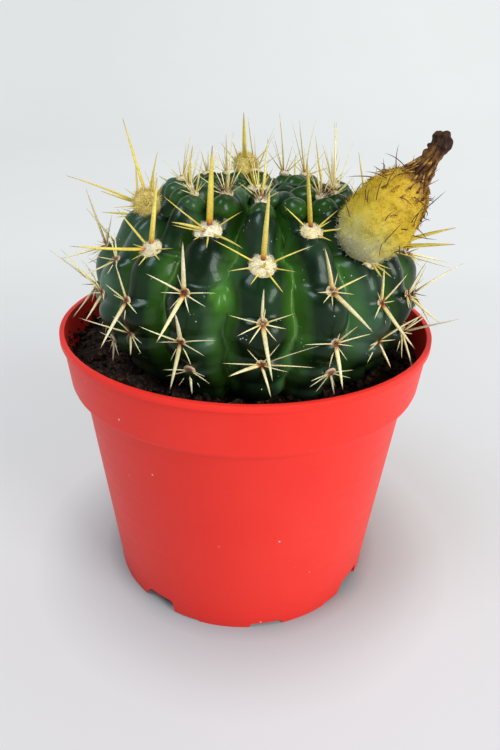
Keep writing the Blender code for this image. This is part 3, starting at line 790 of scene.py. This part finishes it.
def add_spine(bundle, seat, turn, rise, length, width, age, dice, from_radius=1.0, lift=0.2):
    """One spine from the cushion; turn runs clockwise from up the rib, rise from the skin."""
    point, side, up, outward = seat
    angle = math.radians(turn)
    foot = (side * math.sin(angle) + up * math.cos(angle)) * from_radius * MM * 0.5
    root = point + foot + outward * lift * MM
    bend = (dice.uniform(-0.015, 0.015), dice.uniform(-0.015, 0.02))
    bundle.strand(
        SPINE_BLANK, root, towards(seat, turn, rise), length * MM, width * MM, flat=SPINE_FLATNESS,
        bow=bend, age=age, tint=dice.uniform()
    )


# Spine: hard and horny, polished by nature; straw to amber, red-brown at the root where it
# grew last, grey-brown at the weathered tip, with fine rings across it.
spine_horn, add, shader = new_material("horny spine, polished")
place = add("TexCoord").outputs["Object"]
along, age, tint = (
    add("Attribute", attribute_name=name).outputs["Fac"] for name in ("along", "age", "tint")
)
young_spine = add("ValToRGB", {"Fac": along}, stops=(
    (0.0, "#8A2C08"), (0.05, "#C47C1E"), (0.12, "#CBAE30"), (0.5, "#D9C654"), (0.86, "#CDB74E"),
    (1.0, "#35261A")
))
old_spine = add("ValToRGB", {"Fac": along}, stops=(
    (0.0, "#6A2412"), (0.05, "#B06A34"), (0.12, "#DCCB94"), (0.5, "#EBE2BC"), (0.9, "#E0D4AA"),
    (1.0, "#6A543C")
))
aged = add("Mix", {0: age, 6: young_spine, 7: old_spine}, data_type="RGBA")
# The growth marks are noise drawn 0.5 mm apart, coarser than life, so that they show.
rings = add("TexNoise", {"Vector": place, "Scale": 2200.0, "Detail": 1.0})
ringed = add("MapRange", {
    "Value": rings, "From Min": 0.35, "From Max": 0.65, "To Min": 0.86, "To Max": 1.10
})
own = add("MapRange", {"Value": tint, "To Min": 0.82, "To Max": 1.08})
shade = add("Math", {0: ringed, 1: own}, operation="MULTIPLY")
shaded = add("HueSaturation", {"Value": shade, "Color": aged})
feed(shader, {
    "Base Color": shaded, "Roughness": 0.38, "Specular IOR Level": 0.5, "Subsurface Weight": 0.2,
    "Subsurface Radius": (0.5, 0.35, 0.1), "Subsurface Scale": 0.001
})

# Areole felt: short matted hairs, cream when new; a bare old cushion is red-brown in the
# middle with a pinkish rim.
wool_felt, add, shader = new_material("areole felt, matted")
along, age, tint = (
    add("Attribute", attribute_name=name).outputs["Fac"] for name in ("along", "age", "tint")
)
place = add("TexCoord").outputs["Object"]
new_felt = add("ValToRGB", {"Fac": tint}, stops=((0.0, "#D3C293"), (0.5, "#DFD2AA"), (1.0, "#EAE0C2")))
old_felt = add("ValToRGB", {"Fac": along}, stops=((0.30, "#2E0C06"), (0.65, "#7A3A24"), (0.95, "#CDB090")))
felt = add("Mix", {0: age, 6: new_felt, 7: old_felt}, data_type="RGBA")
fluff = add("TexNoise", {"Vector": place, "Scale": 1500.0, "Detail": 3.0})
fluff_tone = add("MapRange", {
    "Value": fluff, "From Min": 0.3, "From Max": 0.7, "To Min": 0.9, "To Max": 1.08
})
felt_shaded = add("HueSaturation", {"Value": fluff_tone, "Color": felt})
fluff_relief = add("Bump", {"Height": fluff, "Strength": 0.5, "Distance": 0.0003})
feed(shader, {
    "Base Color": felt_shaded, "Normal": fluff_relief, "Roughness": 0.95, "Specular IOR Level": 0.1,
    "Sheen Weight": 0.3
})

# Each areole: (latitude, cushion radius mm, wool 0-1, age 0-1, spines). A spine is
# (turn, rise, length mm, width mm) with turn clockwise from up the rib and rise from the skin.
SEEN_AREOLES = {
    "rib01_row1": (35.0, 3.3, 1.0, 0.0, (
        (5, 65, 16.5, 1.25), (170, 72, 3.5, 0.9), (-70, 20, 11.5, 0.6), (75, 20, 11, 0.6),
        (110, 15, 7, 0.45), (-110, 15, 7.5, 0.5), (-155, 20, 6.5, 0.45), (155, 20, 9.5, 0.5)
    )),
    "rib01_row2": (10.0, 1.5, 0.3, 0.75, (
        (0, 25, 8, 0.85), (170, 25, 12.5, 1.15), (-75, 15, 7.5, 0.5), (-115, 15, 6, 0.5),
        (-145, 15, 5, 0.5), (70, 15, 7, 0.5), (100, 15, 5, 0.45), (140, 15, 4.5, 0.45), (-8, 30, 3.5, 0.4),
        (8, 30, 3.5, 0.4)
    )),
    "rib01_row3": (-9.5, 1.4, 0.15, 0.7, (
        (160, 30, 7.5, 0.9), (-90, 30, 8, 1.2), (-75, 15, 9, 0.5), (-30, 15, 6.5, 0.45),
        (25, 15, 8.5, 0.45), (85, 10, 11.5, 0.5), (100, 10, 6, 0.45), (50, 20, 16, 0.4)
    )),
    "rib02_row1": (48.0, 2.9, 1.0, 0.0, (
        (-25, 65, 15, 1.25), (110, 20, 9, 0.6), (-40, 20, 8, 0.6), (-95, 20, 3.5, 0.45), (65, 20, 8.5, 0.5),
        (75, 20, 5, 0.45), (160, 20, 5.5, 0.5), (-140, 20, 5, 0.45)
    )),
    "rib02_row2": (22.5, 1.7, 0.5, 0.55, (
        (-40, 50, 13, 1.1), (15, 35, 4, 0.4), (75, 20, 8.5, 0.65), (110, 20, 4.5, 0.45), (175, 40, 15, 1.3),
        (155, 15, 3.5, 0.4), (-90, 15, 4, 0.45), (-125, 15, 4, 0.45), (-160, 15, 3.5, 0.4)
    )),
    "rib02_row3": (-2.0, 1.4, 0.1, 0.8, (
        (10, 40, 8.5, 0.7), (-10, 30, 4, 0.4), (70, 20, 8, 0.55), (100, 15, 4, 0.4), (-75, 15, 10, 0.5),
        (-160, 15, 5.5, 0.45), (180, 30, 10, 1.2), (145, 15, 5, 0.45)
    )),
    "rib03_row2": (12.0, 1.4, 0.1, 0.7, (
        (-5, 20, 8.5, 0.9), (55, 20, 9.5, 0.6), (95, 20, 3.5, 0.45), (-165, 40, 13.5, 1.2),
        (-115, 15, 6, 0.45), (-165, 15, 5, 0.45), (-40, 20, 4, 0.4)
    )),
    "rib03_row3": (-8.0, 1.4, 0.1, 0.7, (
        (30, 30, 12, 0.8), (-75, 15, 6, 0.55), (-90, 15, 5.5, 0.45), (-130, 15, 6, 0.45), (155, 30, 8, 1.1),
        (90, 20, 5, 0.45)
    )),
    "rib04_row1": (35.5, 2.2, 0.3, 0.0, (
        (147, 57, 16, 1.7), (163, 47, 15.5, 1.7), (171, 29, 16, 0.45), (170, 25, 4, 0.8),
        (-160, 20, 4, 0.5), (20, 40, 8, 0.7), (60, 20, 8, 0.5)
    )),
    "rib04_row2": (10.0, 1.4, 0.1, 0.7, (
        (175, 40, 10, 1.1), (-100, 20, 8, 0.5), (-145, 20, 3.5, 0.45), (15, 35, 9, 0.7), (75, 15, 8, 0.5),
        (120, 15, 6, 0.45), (-60, 20, 5, 0.45)
    )),
    "rib16_row1": (48.0, 3.6, 1.0, 0.0, (
        (10, 65, 17, 1.7), (-160, 45, 11, 1.1), (-105, 20, 7.5, 0.5), (-80, 35, 12, 0.55),
        (55, 20, 8, 0.55), (115, 15, 4.5, 0.4), (155, 20, 9, 0.45), (-160, 15, 4, 0.4), (120, 12, 13, 0.75)
    )),
    "rib16_row2": (20.5, 1.5, 0.15, 0.9, (
        (10, 45, 12, 1.15), (-75, 25, 9, 0.75), (-25, 30, 4, 0.4), (-100, 15, 5, 0.45), (85, 15, 8.5, 0.5),
        (110, 15, 7, 0.45), (145, 15, 5, 0.45), (175, 35, 15, 1.25), (-155, 15, 4.5, 0.4)
    )),
    "rib16_row3": (-2.5, 1.4, 0.1, 0.95, (
        (15, 30, 11.5, 1.15), (-65, 20, 9.5, 0.6), (-95, 15, 5, 0.45), (70, 15, 11, 0.5),
        (100, 15, 7, 0.45), (145, 15, 5.5, 0.45), (-155, 15, 5, 0.4), (-175, 25, 11, 1.2)
    )),
    "rib15_row1": (36.0, 3.1, 0.95, 0.0, (
        (-5, 38, 15, 1.4), (-145, 40, 17, 1.1), (-70, 25, 13.5, 0.75), (-100, 20, 4.5, 0.45),
        (85, 15, 9, 0.5), (110, 15, 8, 0.45), (160, 15, 5.5, 0.45), (-160, 15, 4.5, 0.45)
    )),
    "rib15_row2": (10.0, 1.4, 0.1, 0.8, (
        (-5, 28, 9, 0.8), (-65, 25, 6.5, 0.5), (-80, 25, 3.5, 0.4), (160, 35, 13, 1.15),
        (155, 15, 4.5, 0.4), (100, 15, 7, 0.45)
    )),
    "rib15_row3": (-7.0, 1.4, 0.1, 0.8, (
        (-70, 30, 13, 0.6), (155, 30, 5, 0.7), (85, 15, 7, 0.4), (120, 15, 6, 0.4), (-20, 25, 6, 0.5),
        (180, 20, 4, 0.4)
    )),
    "rib14_row2": (25.0, 1.4, 0.1, 0.7, (
        (-55, 20, 9.5, 0.5), (-40, 20, 7, 0.5), (175, 35, 9, 0.7), (-110, 20, 7, 0.5), (100, 15, 6, 0.45),
        (140, 15, 5, 0.4)
    )),
    "rib14_row3": (6.5, 1.4, 0.1, 0.7, (
        (-70, 20, 19, 0.75), (-35, 30, 11.5, 0.4), (170, 30, 8, 0.9), (-110, 15, 6, 0.45), (90, 15, 6, 0.4),
        (-150, 15, 5, 0.4)
    ))
}

# What a spine set grows to where nothing sets it apart: one stout spine up, one down, a fan.
USUAL_SPINES = (
    (6, 50, 14, 0.95), (172, 40, 12, 1.0), (38, 22, 8, 0.5), (76, 16, 9.5, 0.5), (112, 20, 7, 0.45),
    (148, 16, 5.5, 0.45), (205, 16, 5, 0.45), (242, 22, 7, 0.45), (284, 16, 9.5, 0.5), (322, 22, 8, 0.5)
)
# Down a rib the cushions get smaller, barer and older: radius mm, wool and age of each row.
USUAL_CUSHIONS = ((2.9, 0.95, 0.0), (1.6, 0.3, 0.6), (1.4, 0.1, 0.8))
CUSHION_SHRINK = 0.9


def make_areole(name, azimuth, latitude, radius, wool, age, spines, seed):
    dice = np.random.default_rng(seed)
    bundle = Bundle()
    seat = areole_seat(azimuth, latitude)
    radius = radius * CUSHION_SHRINK
    height = radius * (0.32 + 0.14 * wool)
    add_cushion(bundle, seat, radius * MM, height * MM, wool, dice)
    for turn, rise, length, width in spines:
        spine_age = min(1.0, max(0.0, age + dice.uniform(-0.15, 0.15)))
        lift = 0.2 + height * 0.75 * min(1.0, max(0.0, (rise - 25.0) / 20.0))
        width = width * (1.0 - 0.14 * spine_age)
        add_spine(
            bundle, seat, turn, rise, length, width, spine_age, dice, from_radius=radius * 0.6, lift=lift
        )
    return bundle.make(name, (spine_horn, wool_felt))


def usual_set(dice):
    """The usual spines, each a little off its place."""
    return [
        (turn + dice.uniform(-9, 9), rise + dice.uniform(-6, 6), length * dice.uniform(0.85, 1.1), width)
        for turn, rise, length, width in USUAL_SPINES
    ]


node_names = [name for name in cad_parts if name.startswith("spines_rib")]
for number, name in enumerate(sorted(node_names)):
    rib = int(name[10:12]) - 1
    row = int(name[-1]) - 1
    key = name[7:]
    if key == "rib03_row1":
        continue
    if key in SEEN_AREOLES:
        latitude, radius, wool, age, spines = SEEN_AREOLES[key]
    else:
        latitude = TOP_ROWS[rib] - ROW_STEP * row
        latitude = latitude if latitude > 0.0 else latitude * LOW_ROW_SHARE
        radius, wool, age = USUAL_CUSHIONS[row]
        spines = usual_set(np.random.default_rng(300 + number))
    piece = make_areole(
        "areole_" + key, RIB_AZIMUTHS[rib], latitude, radius, wool, age, spines, 100 + number
    )
    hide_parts(name)
    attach(piece, "root")

# ---------------------------------------------------------------------------------------------
# Woolly buds: two areoles push out a bud packed in yellow-brown wool, one left and one behind.
# Each is a soft upright egg about 7 mm across with its own long yellow spines.

BUD_HAIRS = 1500


def make_bud(name, azimuth, latitude, shift, radius, tall, spines, seed):
    dice = np.random.default_rng(seed)
    bundle = Bundle()
    seat = areole_seat(azimuth, latitude)
    point, side, up, outward = seat
    raised = (point + side * shift * MM + outward * radius * 0.75 * MM, side, up, outward)
    add_cushion(bundle, raised, radius * MM, radius * tall * MM, 1.0, dice, stretch=1.15)
    for _ in range(BUD_HAIRS):
        turn, lean = dice.uniform(0.0, 360.0), dice.uniform(-10.0, 80.0)
        out = towards(seat, turn, lean)
        upwards = math.sin(math.radians(max(0.0, lean)))
        root = raised[0] + out * radius * (0.88 + 0.5 * (tall - 1.0) * upwards) * MM
        way = out + dice.normal(size=3) * 0.45
        length = dice.uniform(0.9, 2.2) * MM
        bend = tuple(dice.uniform(-0.2, 0.2, size=2))
        bundle.strand(HAIR_BLANK, root, way, length, HAIR_WIDTH, bow=bend, slot=1, tint=dice.uniform())
    for turn, rise, length, width in spines:
        add_spine(bundle, raised, turn, rise, length, width, 0.0, dice, from_radius=radius)
    return bundle.make(name, (spine_horn, bud_wool))


# Bud wool: longer and yellower than the felt, brown deep down where the hairs part.
bud_wool, add, shader = new_material("bud wool, yellow-brown")
tint = add("Attribute", attribute_name="tint").outputs["Fac"]
place = add("TexCoord").outputs["Object"]
clumps = add("TexNoise", {"Vector": place, "Scale": 900.0, "Detail": 3.0})
clumped = add("Math", {0: clumps, 1: tint}, operation="ADD")
bud_tone = add("ValToRGB", {"Fac": clumped}, stops=(
    (0.30, "#7E5C20"), (0.65, "#B8963A"), (1.15, "#DCC670")
))
bud_relief = add("Bump", {"Height": clumps, "Strength": 0.8, "Distance": 0.0005})
feed(shader, {
    "Base Color": bud_tone, "Normal": bud_relief, "Roughness": 0.95, "Specular IOR Level": 0.1,
    "Sheen Weight": 0.3
})

LEFT_BUD_SPINES = (
    (-60, 50, 22, 0.9), (-135, 38, 20, 0.85), (20, 60, 7, 0.5), (60, 30, 7, 0.5), (100, 25, 6, 0.45),
    (150, 25, 6, 0.45), (-170, 25, 7, 0.5), (-100, 25, 8, 0.5), (-20, 40, 7, 0.5)
)
BACK_BUD_SPINES = (
    (5, 60, 15, 1.4), (-70, 45, 8, 0.6), (70, 45, 9, 0.6), (120, 30, 7, 0.5), (-120, 30, 7, 0.5),
    (170, 40, 8, 0.6), (-160, 30, 6, 0.5), (35, 50, 8, 0.6)
)
left_bud = make_bud("areole_bud_left", RIB_AZIMUTHS[13], 50.0, -3.9, 2.9, 1.2, LEFT_BUD_SPINES, 41)
back_bud = make_bud("areole_bud_back", RIB_AZIMUTHS[8], 60.0, 3.0, 3.3, 1.4, BACK_BUD_SPINES, 42)
for piece, name in ((left_bud, "woolly_bud_rib14"), (back_bud, "woolly_bud_rib09")):
    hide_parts(name)
    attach(piece, "root")

# ---------------------------------------------------------------------------------------------
# Crown: the sunken growing tip packs its youngest areoles close together, each a woolly tuft
# with short spines that lean in over the middle.

CROWN_FAN = (
    (20, 45, 12, 0.45), (60, 40, 11, 0.45), (-40, 45, 12, 0.45), (-75, 40, 10, 0.45), (130, 45, 8, 0.4)
)
TUFT_RADIUS = 3.4 * MM
TUFT_HEIGHT = 2.2 * MM
RING_PAD_HEIGHT = 1.0 * MM
DRIED_HAIR_WIDTH = 0.16 * MM
DRIED_HAIR_COUNT = 22
TUFT_SPINE_COUNT = 9
RING_LATITUDE = 66.0
crown = Bundle()
crown_dice = np.random.default_rng(77)
crown_seat = areole_seat(0.0, 89.0)
add_cushion(crown, crown_seat, TUFT_RADIUS, TUFT_HEIGHT, 1.0, crown_dice)
for number in range(TUFT_SPINE_COUNT):
    add_spine(
        crown, crown_seat, 360.0 * number / TUFT_SPINE_COUNT, crown_dice.uniform(45, 75),
        crown_dice.uniform(6, 9), 0.6, 0.0, crown_dice
    )
crown_piece = crown.make("crown_tuft", (spine_horn, wool_felt))
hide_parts("crown_wool")
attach(crown_piece, "root")

ring_bundle = Bundle()
# Tufts whose wool has dried to long brown hairs, by the number of their rib.
DRIED_TUFTS = (0, 2, 15)
# Tufts still shut in between their knobs.
HIDDEN_TUFTS = (1, 12)
for rib in range(RIB_COUNT):
    if rib in HIDDEN_TUFTS:
        continue
    vigour = crown_dice.uniform(0.6, 1.2)
    seat = (knob_tops[rib],) + areole_seat(RIB_AZIMUTHS[rib], RING_LATITUDE)[1:]
    add_cushion(
        ring_bundle, seat, crown_dice.uniform(1.0, 2.1) * MM, RING_PAD_HEIGHT, crown_dice.uniform(0.5, 0.9),
        crown_dice
    )
    for turn, rise, length, width in USUAL_SPINES[::2] + CROWN_FAN:
        add_spine(
            ring_bundle, seat, turn + crown_dice.uniform(-15, 15), rise + crown_dice.uniform(5, 25),
            length * vigour * crown_dice.uniform(0.6, 1.1),
            min(width, 0.7) * crown_dice.uniform(0.55, 0.85), crown_dice.uniform(0.2, 0.8), crown_dice
        )
    if rib in DRIED_TUFTS:
        for _ in range(DRIED_HAIR_COUNT):
            way = towards(seat, crown_dice.uniform(0, 360), crown_dice.uniform(35, 80))
            ring_bundle.strand(
                HAIR_BLANK, seat[0] + towards(seat, crown_dice.uniform(0, 360), 5) * 1.2 * MM, way,
                crown_dice.uniform(2.5, 5.0) * MM, DRIED_HAIR_WIDTH,
                bow=(crown_dice.uniform(-0.2, 0.2), 0.0), slot=1, age=1.0, tint=0.2
            )
ring_piece = ring_bundle.make("crown_ring_areoles", (spine_horn, wool_felt))
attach(ring_piece, "root")

# The fourth row sits at the soil: small, bare, brown areoles with thin spines.
LOW_SPINES = (
    (-80, 15, 6, 0.4), (-108, 15, 6, 0.4), (170, 35, 5.5, 0.7), (100, 15, 5.5, 0.4), (150, 15, 4.5, 0.4),
    (75, 20, 5, 0.4), (-140, 20, 5.5, 0.4)
)
LOW_LATITUDE = -17.3
LOW_PAD_RADIUS = 1.5 * MM
LOW_PAD_HEIGHT = 0.6 * MM
low_bundle = Bundle()
low_dice = np.random.default_rng(78)
for rib in range(RIB_COUNT):
    if TOP_ROWS[rib] < LOW_TOP:
        continue
    seat = areole_seat(RIB_AZIMUTHS[rib] + 1.0, LOW_LATITUDE)
    add_cushion(low_bundle, seat, LOW_PAD_RADIUS, LOW_PAD_HEIGHT, 0.1, low_dice)
    for turn, rise, length, width in LOW_SPINES:
        add_spine(low_bundle, seat, turn + low_dice.uniform(-8, 8), rise, length, width, 0.9, low_dice)
low_piece = low_bundle.make("soil_line_areoles", (spine_horn, wool_felt))
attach(low_piece, "root")

# ---------------------------------------------------------------------------------------------
# Fruit: a ripe berry on the right, yellow, felted all over, palest at its lower end, with thin
# maroon bristles. It grows from the top areole of the third rib.

FRUIT_BASE = np.array((23.6, -27.4, 107.3)) * MM
FRUIT_NECK = np.array((37.7, -21.5, 124.2)) * MM
FRUIT_RADII = (
    (0.0, 0.0), (0.03, 3.0), (0.10, 5.3), (0.25, 7.4), (0.42, 8.0), (0.58, 7.8), (0.72, 7.1), (0.85, 6.0),
    (0.95, 4.6), (1.0, 0.0)
)
FUZZ_COUNT = 4600
BRISTLE_COUNT = 78
BRISTLE_WIDTH = 0.22 * MM

fruit_length = np.linalg.norm(FRUIT_NECK - FRUIT_BASE)
fruit_way = (FRUIT_NECK - FRUIT_BASE) / fruit_length
fruit_side = np.cross(fruit_way, (0.0, 0.0, 1.0))
fruit_side /= np.linalg.norm(fruit_side)
fruit_over = np.cross(fruit_side, fruit_way)


def smooth_radius(share, pairs):
    """Radius in metres at a share of the length, eased between pairs of share and millimetres."""
    shares, radii = np.array(pairs).T
    fine = np.linspace(0.0, 1.0, 201)
    eased = np.interp(fine, shares, radii * MM)
    for _ in range(12):
        eased[1:-1] = (eased[:-2] + 2.0 * eased[1:-1] + eased[2:]) / 4.0
    return np.interp(share, fine, eased)


def fruit_skin_point(share, angle):
    """Points on the berry and the outward direction there."""
    radius = smooth_radius(share, FRUIT_RADII)
    around = fruit_side * np.cos(angle)[:, None] + fruit_over * np.sin(angle)[:, None]
    points = FRUIT_BASE + fruit_way * (share * fruit_length)[:, None] + around * radius[:, None]
    gain = smooth_radius(share + 0.01, FRUIT_RADII) - smooth_radius(share - 0.01, FRUIT_RADII)
    slope = gain / (0.02 * fruit_length)
    outward = around - fruit_way * slope[:, None]
    return points, outward / np.linalg.norm(outward, axis=1)[:, None]


ball, faces = ball_blank(96, 72)
share = np.arccos(np.clip(-ball[:, 2], -1.0, 1.0)) / math.pi
points, outward = fruit_skin_point(share, np.arctan2(ball[:, 1], ball[:, 0]))
dents = soft_noise(points, 7.0 * MM, 21) * 0.28 + soft_noise(points, 2.6 * MM, 22) * 0.10
points += outward * (dents * MM)[:, None]
fruit = Bundle()
fruit.add(points, faces, 0, share, 0.0, 0.5)
fruit_dice = np.random.default_rng(31)
fuzz_share = fruit_dice.beta(1.15, 1.3, FUZZ_COUNT) * 0.97 + 0.01
fuzz_roots, fuzz_out = fruit_skin_point(fuzz_share, fruit_dice.uniform(0.0, 2.0 * math.pi, FUZZ_COUNT))
for number in range(FUZZ_COUNT):
    way = fuzz_out[number] * 0.75 + fruit_way * 0.35 + fruit_dice.normal(size=3) * 0.45
    length = fruit_dice.uniform(0.6, 1.5) * MM
    bend = tuple(fruit_dice.uniform(-0.2, 0.2, size=2))
    fruit.strand(
        HAIR_BLANK, fuzz_roots[number] - fuzz_out[number] * 0.1 * MM, way, length, HAIR_WIDTH, bow=bend,
        slot=1, tint=fruit_dice.uniform()
    )
    fruit.numbers["along"][-1] = np.full(len(HAIR_BLANK[0]), fuzz_share[number])
bristle_share = fruit_dice.uniform(0.2, 0.98, BRISTLE_COUNT)
bristle_angle = fruit_dice.uniform(0.0, 2.0 * math.pi, BRISTLE_COUNT)
bristle_roots, bristle_out = fruit_skin_point(bristle_share, bristle_angle)
for number in range(BRISTLE_COUNT):
    across = np.cross(bristle_out[number], fruit_way) * fruit_dice.uniform(-0.9, 0.9)
    out = bristle_out[number] * fruit_dice.uniform(0.1, 0.7)
    way = out + fruit_way * fruit_dice.uniform(-0.7, 1.0) + across
    bend = (fruit_dice.uniform(-0.14, 0.14), fruit_dice.uniform(-0.05, 0.14))
    length = fruit_dice.uniform(2.8, 6.0) * MM
    fruit.strand(
        SPINE_BLANK, bristle_roots[number] + bristle_out[number] * 0.25 * MM, way, length, BRISTLE_WIDTH,
        bow=bend, slot=2
    )

# Berry skin under its felt: waxy yellow, greener and paler below, brown round the neck.
berry_skin, add, shader = new_material("cactus berry skin, felted")
along = add("Attribute", attribute_name="along").outputs["Fac"]
place = add("TexCoord").outputs["Object"]
blotch = add("TexNoise", {"Vector": place, "Scale": 260.0, "Detail": 4.0})
blotch_shift = add("Math", {0: blotch, 1: 0.5, 2: -0.25}, operation="MULTIPLY_ADD")
berry_height = add("Math", {0: along, 1: blotch_shift}, operation="ADD")
berry_tone = add("ValToRGB", {"Fac": berry_height}, stops=(
    (0.05, "#BDB68A"), (0.22, "#B9AC50"), (0.38, "#BCA018"), (0.80, "#BC960A"), (0.97, "#6E4A16")
))
berry_relief = add("Bump", {"Height": blotch, "Strength": 0.5, "Distance": 0.0006})
feed(shader, {
    "Base Color": berry_tone, "Normal": berry_relief, "Roughness": 0.7, "Subsurface Weight": 0.2,
    "Subsurface Radius": (0.8, 0.5, 0.1), "Subsurface Scale": 0.002
})

# Berry fuzz: silky hairs, cream low down, lemon above, brown round the neck.
berry_fuzz, add, shader = new_material("berry fuzz, silky")
along, tint = (add("Attribute", attribute_name=name).outputs["Fac"] for name in ("along", "tint"))
fuzz_tone = add("ValToRGB", {"Fac": along}, stops=(
    (0.08, "#D6D2B6"), (0.26, "#CFC67C"), (0.40, "#C8AE24"), (0.80, "#C6A010"), (0.93, "#7E5A1C")
))
fuzz_own = add("MapRange", {"Value": tint, "To Min": 0.75, "To Max": 1.1})
fuzz_shaded = add("HueSaturation", {"Value": fuzz_own, "Color": fuzz_tone})
feed(shader, {"Base Color": fuzz_shaded, "Roughness": 0.8, "Specular IOR Level": 0.08})

# Bristle: stiff dry hair, dark maroon, darkest at its tip.
bristle_hair, add, shader = new_material("maroon bristle, dry")
along = add("Attribute", attribute_name="along").outputs["Fac"]
bristle_tone = add("ValToRGB", {"Fac": along}, stops=((0.0, "#5E1F12"), (0.6, "#431410"), (1.0, "#2A1414")))
feed(shader, {"Base Color": bristle_tone, "Roughness": 0.55})
fruit_piece = fruit.make("berry", (berry_skin, berry_fuzz, bristle_hair))
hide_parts("fruit")
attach(fruit_piece, "root")

# The berry's areole: a small cushion under the berry with short yellow spines beside it.
BERRY_SPINES = (
    (-155, 20, 6, 0.7), (175, 20, 6, 0.7), (-100, 15, 5, 0.45), (100, 15, 5, 0.45), (140, 15, 5, 0.45)
)
berry_seat = make_areole("areole_rib03_row1", RIB_AZIMUTHS[2], 32.5, 2.4, 0.8, 0.1, BERRY_SPINES, 55)
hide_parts("spines_rib03_row1")
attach(berry_seat, "root")

# ---------------------------------------------------------------------------------------------
# Dried flower: the withered tube still on the berry. Its petals have shrunk to papery brown
# strips that lap down over the berry's shoulder and twist up to a dark lumpy tip.

# The middle of the tube from inside the berry's neck to its tip, in millimetres.
FLOWER_PATH = (
    (36.2, -22.0, 121.8), (39.6, -20.6, 125.4), (41.4, -19.4, 128.1), (43.2, -18.0, 130.7),
    (44.7, -17.0, 133.6)
)
# Widths of the tube from its foot to its tip, in millimetres.
FLOWER_WIDTHS = (4.2, 3.0, 2.2, 1.8, 1.7, 1.8, 2.0, 2.0, 1.7)
FLOWER_RINGS = 60
FLOWER_SIDES = 48
PETAL_COUNT = 90
PETAL_RING_RADIUS = 3.6 * MM


def flower_middle(share):
    """Points at shares of the tube's length, on its path smoothed through the corners."""
    path = np.array(FLOWER_PATH) * MM
    spots = np.linspace(0.0, 1.0, len(path))
    fine = np.linspace(0.0, 1.0, 101)
    curve = np.stack([np.interp(fine, spots, path[:, axis]) for axis in range(3)], axis=1)
    for _ in range(60):
        curve[1:-1] = (curve[:-2] + 2.0 * curve[1:-1] + curve[2:]) / 4.0
    return np.stack([np.interp(share, fine, curve[:, axis]) for axis in range(3)], axis=1)


flower = Bundle()
flower_dice = np.random.default_rng(61)
ball, faces = ball_blank(FLOWER_SIDES, FLOWER_RINGS)
share = np.arccos(np.clip(-ball[:, 2], -1.0, 1.0)) / math.pi
angle = np.arctan2(ball[:, 1], ball[:, 0])
middle = flower_middle(share)
ahead = flower_middle(np.clip(share + 0.02, 0.0, 1.0)) - flower_middle(np.clip(share - 0.02, 0.0, 1.0))
ahead /= np.linalg.norm(ahead, axis=1)[:, None]
side = np.cross(ahead, (0.0, 0.0, 1.0))
side /= np.linalg.norm(side, axis=1)[:, None]
over = np.cross(side, ahead)
width = np.interp(share, np.linspace(0.0, 1.0, len(FLOWER_WIDTHS)), FLOWER_WIDTHS) * MM
width *= np.minimum(1.0, 2.6 * np.sqrt(np.clip(1.0 - share, 0.0, 1.0)))
width *= np.minimum(1.0, 4.0 * np.sqrt(np.clip(share, 0.0, 1.0)))
folds = 1.0 + 0.16 * np.sin(angle * 7.0 + share * 9.0) + 0.10 * np.sin(angle * 13.0 - share * 14.0)
knots = 1.0 + 0.16 * np.exp(-(((share - 0.66) / 0.04) ** 2)) + 0.20 * soft_noise(ball, 0.4, 64)
points = middle + side * (np.cos(angle) * width * folds * knots)[:, None]
points = points + over * (np.sin(angle) * width * folds * knots)[:, None]
points += ahead * (soft_noise(points, 2.4 * MM, 63) * 0.5 * MM * share)[:, None]
flower.add(points, faces, 0, share, 0.0, 0.4)
for number in range(PETAL_COUNT):
    turn = 2.0 * math.pi * number / PETAL_COUNT + flower_dice.uniform(-0.15, 0.15)
    around = fruit_side * math.cos(turn) + fruit_over * math.sin(turn)
    # Two petals in three lap down over the berry; the third runs up along the tube.
    if number % 3 != 0:
        root_share = flower_dice.uniform(0.62, 0.92)
        low, low_out = fruit_skin_point(np.array([root_share]), np.array([turn]))
        start = low[0] + low_out[0] * 0.5 * MM
        finish = FRUIT_NECK + fruit_way * flower_dice.uniform(0.0, 2.2) * MM + around * 2.0 * MM
        bend = (0.0, 0.0)
    else:
        start = FRUIT_NECK + around * PETAL_RING_RADIUS
        finish = flower_middle(np.array([flower_dice.uniform(0.3, 0.55)]))[0] + around * 1.8 * MM
        bend = (flower_dice.uniform(-0.06, 0.06), 0.0)
    way = finish - start
    flower.strand(
        SPINE_BLANK, start, way, np.linalg.norm(way), flower_dice.uniform(0.35, 0.9) * MM, flat=0.35,
        bow=bend, tint=flower_dice.uniform()
    )

# Withered petal: papery, streaked lengthways from tan to nearly black, quite matt.
withered, add, shader = new_material("withered petal, papery")
along, tint = (add("Attribute", attribute_name=name).outputs["Fac"] for name in ("along", "tint"))
place = add("TexCoord").outputs["Object"]
streaks = add("TexNoise", {"Vector": place, "Scale": 480.0, "Detail": 4.0})
dryness = add("Math", {0: tint, 1: 0.45, 2: streaks}, operation="MULTIPLY_ADD")
dry_tone = add("ValToRGB", {"Fac": dryness}, stops=(
    (0.42, "#1E0F08"), (0.60, "#4A2A12"), (0.76, "#7E5420"), (0.95, "#B08A3A")
))
darker = add("ValToRGB", {"Fac": along}, stops=((0.45, 0.0), (0.72, 0.85)))
flower_tone = add("Mix", {0: darker, 6: dry_tone, 7: paint("#22120B")}, data_type="RGBA")
dry_relief = add("Bump", {"Height": streaks, "Strength": 0.8, "Distance": 0.0005})
feed(shader, {
    "Base Color": flower_tone, "Normal": dry_relief, "Roughness": 0.8, "Specular IOR Level": 0.25
})
flower_piece = flower.make("withered_flower", (withered,))
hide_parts("dried_flower")
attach(flower_piece, "root")
